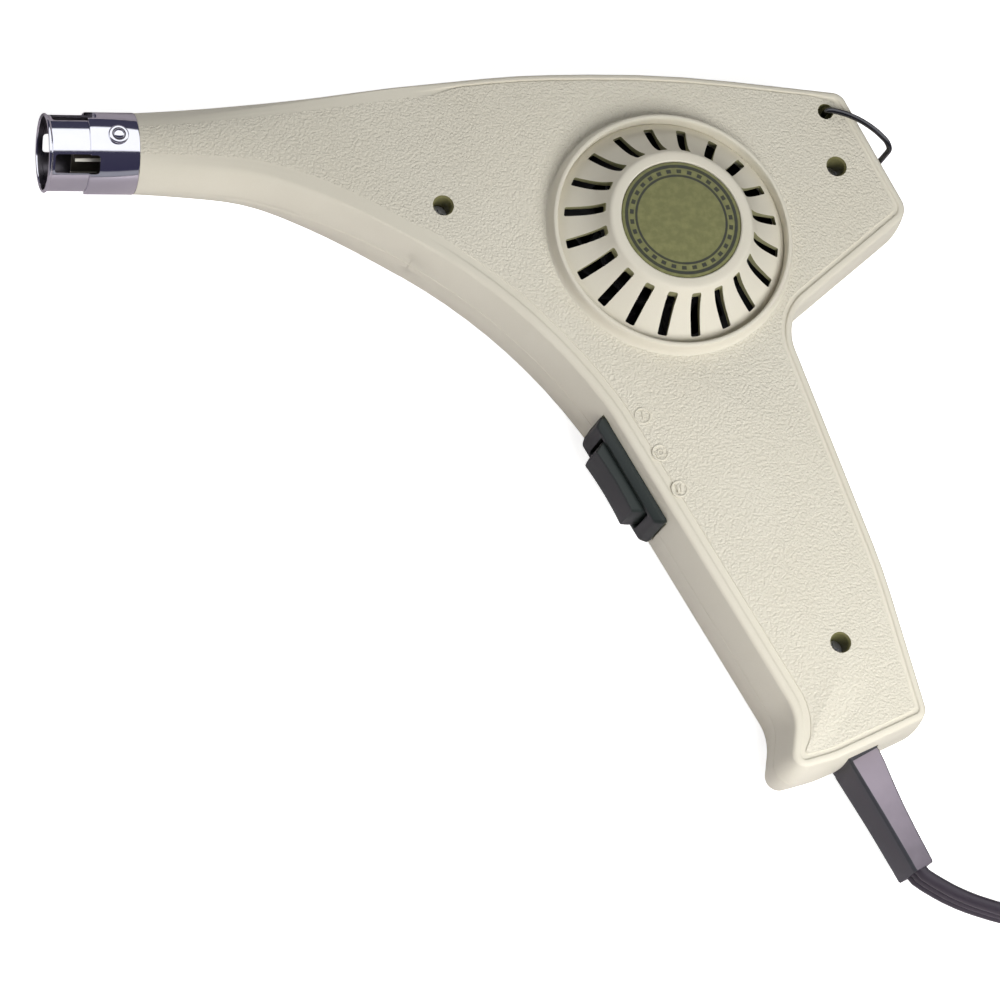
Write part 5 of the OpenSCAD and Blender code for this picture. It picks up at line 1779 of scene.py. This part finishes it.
@dataclass(frozen=True)
class Nozzle:
    """The outlet sleeve, its band, the button that holds them and the heater coil.

    Attributes:
        sleeve: Outer radius of the sleeve.
        sheet: Thickness of the sheet.
        band: Outer radius of the band.
        window: Start, end and angle of the windows.
        corner: Angle of the first window from the upper side, in degrees.
        front: Place along X of the casing's front.
        out: Place along X of the band's front.
        button_back: Distance of the button from the casing's front.
        button_turn: Angle of the button from the upper side, in degrees.
        steps: Points round each turned ring.
        sharp: Edges that turn by more than this many degrees stay sharp.
    """

    sleeve: float = 9.55
    sheet: float = 0.45
    band: float = 10.3
    window: tuple[float, float, float] = (1.7, 12.9, 30.0)
    corner: float = 39.0
    front: float = 23.0
    out: float = 10.5
    button_back: float = 5.4
    button_turn: float = -4.7
    steps: int = 128
    sharp: float = 40.0

    def windows(self, low: float, high: float) -> Shape:
        """Wedges that cut the four windows: rounded boxes that stand on the sleeve at each quarter.

        Args:
            low: Start of the windows along X.
            high: Their end.

        Returns:
            The four wedges.
        """
        shape = Shape()
        half = self.sleeve * np.sin(np.radians(self.window[2] / 2))
        box = rounded_box((high - low) / 2, half, 0.8, 4)
        for a in np.radians(self.corner + 90 * np.arange(4)):
            rings = []
            for r in (4.0, 16.0):
                y = box[:, 1] * np.cos(a) - r * np.sin(a)
                z = box[:, 1] * np.sin(a) + r * np.cos(a)
                rings.append(np.stack([(low + high) / 2 + box[:, 0], y, z], axis=-1))
            shape.tube(np.array(rings))
        return shape

    def tube(self, palette: Palette) -> None:
        """The sleeve with its rolled lip: a thin turned wall, darkened inside as painted shade, and a round
        bead.

        Args:
            palette: The finishes.
        """
        r, inner = self.sleeve, self.sleeve - self.sheet
        t = np.radians(np.linspace(180, -60, 12))
        lip = np.stack([r + 0.02 + 0.43 * np.cos(t), 0.45 - 0.43 * np.sin(t)], axis=-1)
        inside = [[inner - 0.3, 21.8], [inner - 0.3, 1.75], [inner, 1.65]]
        profile = np.concatenate([inside, lip, [[r, 1.1], [r, 21.8]]])
        shape = Shape().tube(lathe(profile, (0, 0, 0), Axis.X, self.steps), closed=True)
        # The inside faces take the second finish: painted shade.
        shape.repaint(0, len(inside) * self.steps, 1)
        piece = solid("outlet_sleeve", shape, palette, "bright_plate", "painted_shade_plate", sharp=self.sharp)
        combine(piece, Joining.CUT, self.windows(*self.window[:2]), sharp=self.sharp)
        dress(piece, "casing", "nozzle_metal", "nozzle_sleeve")

    def collar(self, palette: Palette) -> None:
        """The band over the sleeve, with a notch at each window, and its neck inside the barrel.

        Args:
            palette: The finishes.
        """
        b, f, out = self.band, self.front, self.out
        profile = np.array([
            [9.6, out], [b - 0.25, out], [b - 0.07, out + 0.08], [b, out + 0.3], [b, f - 0.3],
            [b - 0.15, f - 0.05], [8.6, f - 0.05], [8.6, 38.0], [8.15, 38.0], [8.15, f - 0.85],
            [9.6, f - 0.85],
        ])
        shape = Shape().tube(lathe(profile, (0, 0, 0), Axis.X, self.steps), closed=True)
        piece = solid("nozzle_collar", shape, palette, "bright_plate", sharp=self.sharp)
        combine(piece, Joining.CUT, self.windows(out - 6, self.window[1]), sharp=self.sharp)
        dress(piece, "casing", "nozzle_metal", "nozzle_band")

    def button(self, palette: Palette) -> None:
        """The round button on the band: a rim, a groove in painted shade and a dome, turned round the barrel.

        Args:
            palette: The finishes.
        """
        z, steps = self.band, 64
        shank = [[0.02, 8.4], [1.15, 8.4], [1.15, z], [2.5, z - 0.25]]
        rim = [[2.6, z + 0.2], [2.55, z + 0.5], [2.35, z + 0.75], [2.0, z + 0.85], [1.75, z + 0.75]]
        groove = [[1.62, z + 0.5], [1.5, z + 0.55]]
        dome = [[1.42, z + 0.9], [1.15, z + 1.2], [0.7, z + 1.4], [0.02, z + 1.48]]
        profile = np.array(shank + rim + groove + dome)
        rings = lathe(profile, (self.front - self.button_back, 0, 0), steps=steps)
        rings[..., 1:] = rings[..., 1:] @ turn(np.radians(self.button_turn))
        first = len(shank) + len(rim)
        # The groove takes the second finish: painted shade.
        shape = Shape().tube(rings).repaint(first * steps, (first + len(groove)) * steps, 1)
        piece = solid("band_button", shape, palette, "bright_plate", "painted_shade_plate", sharp=self.sharp)
        dress(piece, "casing", "nozzle_metal", "nozzle_button")

    def element(self, palette: Palette) -> None:
        """The heater coil: a round wire wound evenly about the barrel's axis, within its CAD solid.

        Args:
            palette: The finishes.
        """
        turns, radius, solid_wire = 20, 5.55, 0.45
        low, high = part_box("heater_coil")
        a = np.linspace(0, 2 * np.pi * turns, turns * 24 + 1)
        start = (low.x - PLACE.origin[0]) * 1000 + solid_wire
        x = start + (a / a[-1]) * ((high.x - low.x) * 1000 - 2 * solid_wire)
        path = np.stack([x, radius * np.cos(a), radius * np.sin(a)], axis=-1)
        shape = Shape().tube(sweep(path, circle(0.4, 8), (1, 0, 0)))
        piece = solid("heater_winding", shape, palette, "resistance_wire")
        dress(piece, "casing", "resistance_wire", "heater_coil")

    def build(self, palette: Palette) -> None:
        """Makes the nozzle's pieces.

        Args:
            palette: The finishes.
        """
        self.tube(palette)
        self.collar(palette)
        self.button(palette)
        self.element(palette)


# Switch and bail


@dataclass(frozen=True)
class Switch:
    """The rocker switch on the grip. Its pivot lies on the grip's edge line.

    Attributes:
        radius: Radius of the rocker's ends about the pivot.
        width: Width of the rocker.
        bezel: Height of the bezel over the grip's edge line.
        rise: Height of the rocker over the bezel.
        dip: Depth of the dip along the rocker's top.
    """

    radius: float = 10.9
    width: float = 11.0
    bezel: float = 3.4
    rise: float = 3.0
    dip: float = 0.4

    @staticmethod
    def pin(radius: float, half: float) -> Array:
        """Rings of a round pin at the pivot."""
        ring = circle(radius, 32)
        return np.array([GRIP.solid(SWITCH_ALONG + ring[:, 0], ring[:, 1], z) for z in (-half, half)])

    def housing(self, palette: Palette) -> None:
        """The bezel, its well and the body behind it: rounded boxes from the back, out and in again.

        Each step holds half the length, half the width, the corners' radius and the place across the grip.

        Args:
            palette: The finishes.
        """
        top = -self.bezel
        body = [(13.9, 6.65, 0.6, 17.4), (13.9, 6.65, 0.6, -0.5)]
        flange = [(15.6, 8.0, 0.9, -0.5), (15.6, 8.0, 0.9, -1.7), (15.4, 7.85, 0.9, -2.0)]
        slope = [(14.5, 7.3, 0.8, -3.1), (14.2, 7.12, 0.8, -3.32)]
        face = [(13.85, 6.9, 0.8, top), (11.75, 6.0, 0.9, top)]
        well = [(11.4, 5.8, 0.8, -3.25), (11.25, 5.68, 0.7, -2.8), (11.2, 5.66, 0.7, 9.0)]
        rings = []
        for half_along, half_z, corner, across in body + flange + slope + face + well:
            box = rounded_box(half_along, half_z, corner)
            rings.append(GRIP.solid(SWITCH_ALONG + box[:, 0], across, box[:, 1]))
        piece = solid("switch_bezel", Shape().tube(np.array(rings)), palette, "switch_moulding", sharp=25)
        combine(piece, Joining.CUT, Shape().tube(self.pin(1.25, 7.5)), sharp=25)
        dress(piece, "casing", "switch_plastic", "switch_housing")

    def rocker(self, palette: Palette) -> None:
        """The rocker: arcs about the pivot at both ends and a shallow dip along its top.

        The dip is a parabola, deepest in the middle. Towards both faces the outline shrinks to its mean,
        which rounds the edges.

        Args:
            palette: The finishes.
        """
        top = self.bezel + self.rise
        end = np.arcsin(top / self.radius)
        reach = self.radius * np.cos(end)
        a = np.linspace(np.pi - end, np.pi + 0.14, 10)
        first = np.stack([self.radius * np.cos(a), -self.radius * np.sin(a)], axis=-1)
        x = np.linspace(reach, -reach, 17)[1:-1]
        crown = np.stack([x, -top + self.dip * (1 - (x / reach) ** 2)], axis=-1)
        line = np.concatenate([first, [[-6, 3], [6, 3]], first[::-1] * np.array([-1, 1]), crown])
        middle = line.mean(0)
        half = [(0.86, 1.0), (0.94, 0.978), (0.985, 0.945), (1, 0.90)]
        rings = []
        for z, grow in [(-z, grow) for z, grow in half[::-1]] + half:
            p = middle + (line - middle) * grow
            rings.append(GRIP.solid(SWITCH_ALONG + p[:, 0], p[:, 1], z * self.width / 2))
        shape = Shape().tube(np.array(rings)).tube(self.pin(1.2, 6.7))
        piece = solid("rocker", shape, palette, "switch_moulding", sharp=30)
        dress(piece, "rocker", "switch_plastic", "switch_rocker")

    def build(self, palette: Palette) -> None:
        """Makes the switch's pieces."""
        self.housing(palette)
        self.rocker(palette)


@dataclass(frozen=True)
class Bail:
    """The bent wire bail at the rear corner.

    Attributes:
        radius: Radius of the wire.
        reach: Distance from the pivot to the far end of the bow.
        bow: Radius of the bow.
        bend: Radius of the bend at the far end.
        root: Radius of the bend at the pivot.
        depth: How deep each leg stands in its shell.
        rest: Angle below the barrel's axis at which the bail lies at rest, in degrees.
    """

    radius: float = 0.75
    reach: float = 19.6
    bow: float = 22.0
    bend: float = 3.0
    root: float = 1.5
    depth: float = 7.2
    rest: float = 36.0

    @property
    def full(self) -> float:
        """Angle of the bow from the pivot to the far end."""
        return 2 * np.arcsin(self.reach / 2 / self.bow)

    @property
    def placing(self) -> Array:
        """The matrix that turns the wire's line into its place at rest."""
        return turn(self.full / 2 - np.radians(self.rest))

    def half_path(self) -> Array:
        """The upper half of the wire's line, before it is turned into its place.

        It rises from the shell, bends outwards by a quarter circle, follows the bow and bends down by another
        quarter circle.

        Returns:
            Tool points.
        """
        z = SIDE_Z + 0.3 + self.radius
        swept = self.full - 2 * np.arcsin((self.bend + self.root) / 2 / self.bow) - np.radians(0.6)
        t = np.linspace(0.3, np.pi / 2, 6)
        elbow = np.stack([self.root * (1 - np.cos(t)), z - self.root + self.root * np.sin(t)], axis=-1)
        leg = np.concatenate([[[0, SIDE_Z - self.depth], [0, z - self.root]], elbow])
        t = np.linspace(0, swept, 14)[1:]
        arc = np.stack([self.root + self.bow * np.sin(t), self.bow * (np.cos(t) - 1)], axis=-1)
        t = np.linspace(0, np.pi / 2, 9)[1:]
        far = arc[-1] + (self.bend * np.sin(t))[:, None] * np.array([np.cos(swept), -np.sin(swept)])
        flat = np.concatenate([np.stack([leg[:, 0], 0 * leg[:, 0]], axis=-1), arc, far])
        height = np.concatenate([leg[:, 1], np.full(len(arc), z), z - self.bend * (1 - np.cos(t))])
        return np.concatenate([flat @ self.placing + np.array(BAIL_PIVOT), height[:, None]], axis=-1)

    def build(self, palette: Palette) -> None:
        """Carries a circle along the wire's line.

        The circle's first direction is the one across the bail, or along it where the wire runs across.

        Args:
            palette: The finishes.
        """
        half = self.half_path()
        path = np.concatenate([half, (half * np.array([1, 1, -1]))[::-1]])
        away, side = (np.array([*row, 0.0]) for row in self.placing)
        run = np.gradient(path, axis=0)
        run /= np.linalg.norm(run, axis=1, keepdims=True)
        u = side - (run @ side)[:, None] * run
        weak = np.linalg.norm(u, axis=1, keepdims=True) < 0.3
        u = np.where(weak, away - (run @ away)[:, None] * run, u)
        u /= np.linalg.norm(u, axis=1, keepdims=True)
        ring = circle(self.radius, 14)[None]
        rings = path[:, None] + ring[..., :1] * u[:, None] + ring[..., 1:] * np.cross(run, u)[:, None]
        piece = solid("wire_bail", Shape().tube(rings), palette, "dark_wire", sharp=40)
        dress(piece, "bail", "screw", "hanging_bail")


# Inner pieces


class Inside:
    """The CAD pieces that stay: each gets its finish."""

    NODES = {
        "mica_sheet": ("mica_liner",),
        "mica_cross_painted_light": ("mica_former",),
        "dull_steel": ("heater_shield", "thermal_cutout", "motor_shaft", "armature_core"),
        "zinc_plate": ("motor_can", "shell_screws", "clamp_screws"),
        "black_moulding": ("fan_cover", "fan_wheel", "motor_end_cap", "cord_clamp"),
        "ferrite": ("motor_magnets", "motor_brushes"),
        "brass_strip": ("motor_bushes", "contact_plate", "switch_terminals", "plug_pins"),
        "enamelled_copper": ("armature_winding", "commutator"),
        "circuit_board": ("rectifier_board",),
        "cord_jacket": ("mains_leads",),
        "glass_sleeve": ("heater_leads",),
        "black_insulation": ("motor_leads",),
    }

    def build(self, palette: Palette) -> None:
        """Gives each kept CAD node its finish.

        Args:
            palette: The finishes.
        """
        for finish, nodes in self.NODES.items():
            for node in nodes:
                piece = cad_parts[node]
                for slot in piece.material_slots:
                    slot.material = palette[finish]
                if not piece.material_slots:
                    piece.data.materials.append(palette[finish])
                log.info("%s keeps its CAD shape with %s", node, finish)


def main() -> None:
    """Builds the studio, the cord and the tool, in order."""
    logging.basicConfig(level=logging.INFO, format="%(message)s")
    Studio().build()
    palette = Palette()
    for part in (Cord(), Casing(), Nozzle(), Switch(), Bail(), Inside()):
        part.build(palette)


if __name__ == "__main__":
    main()
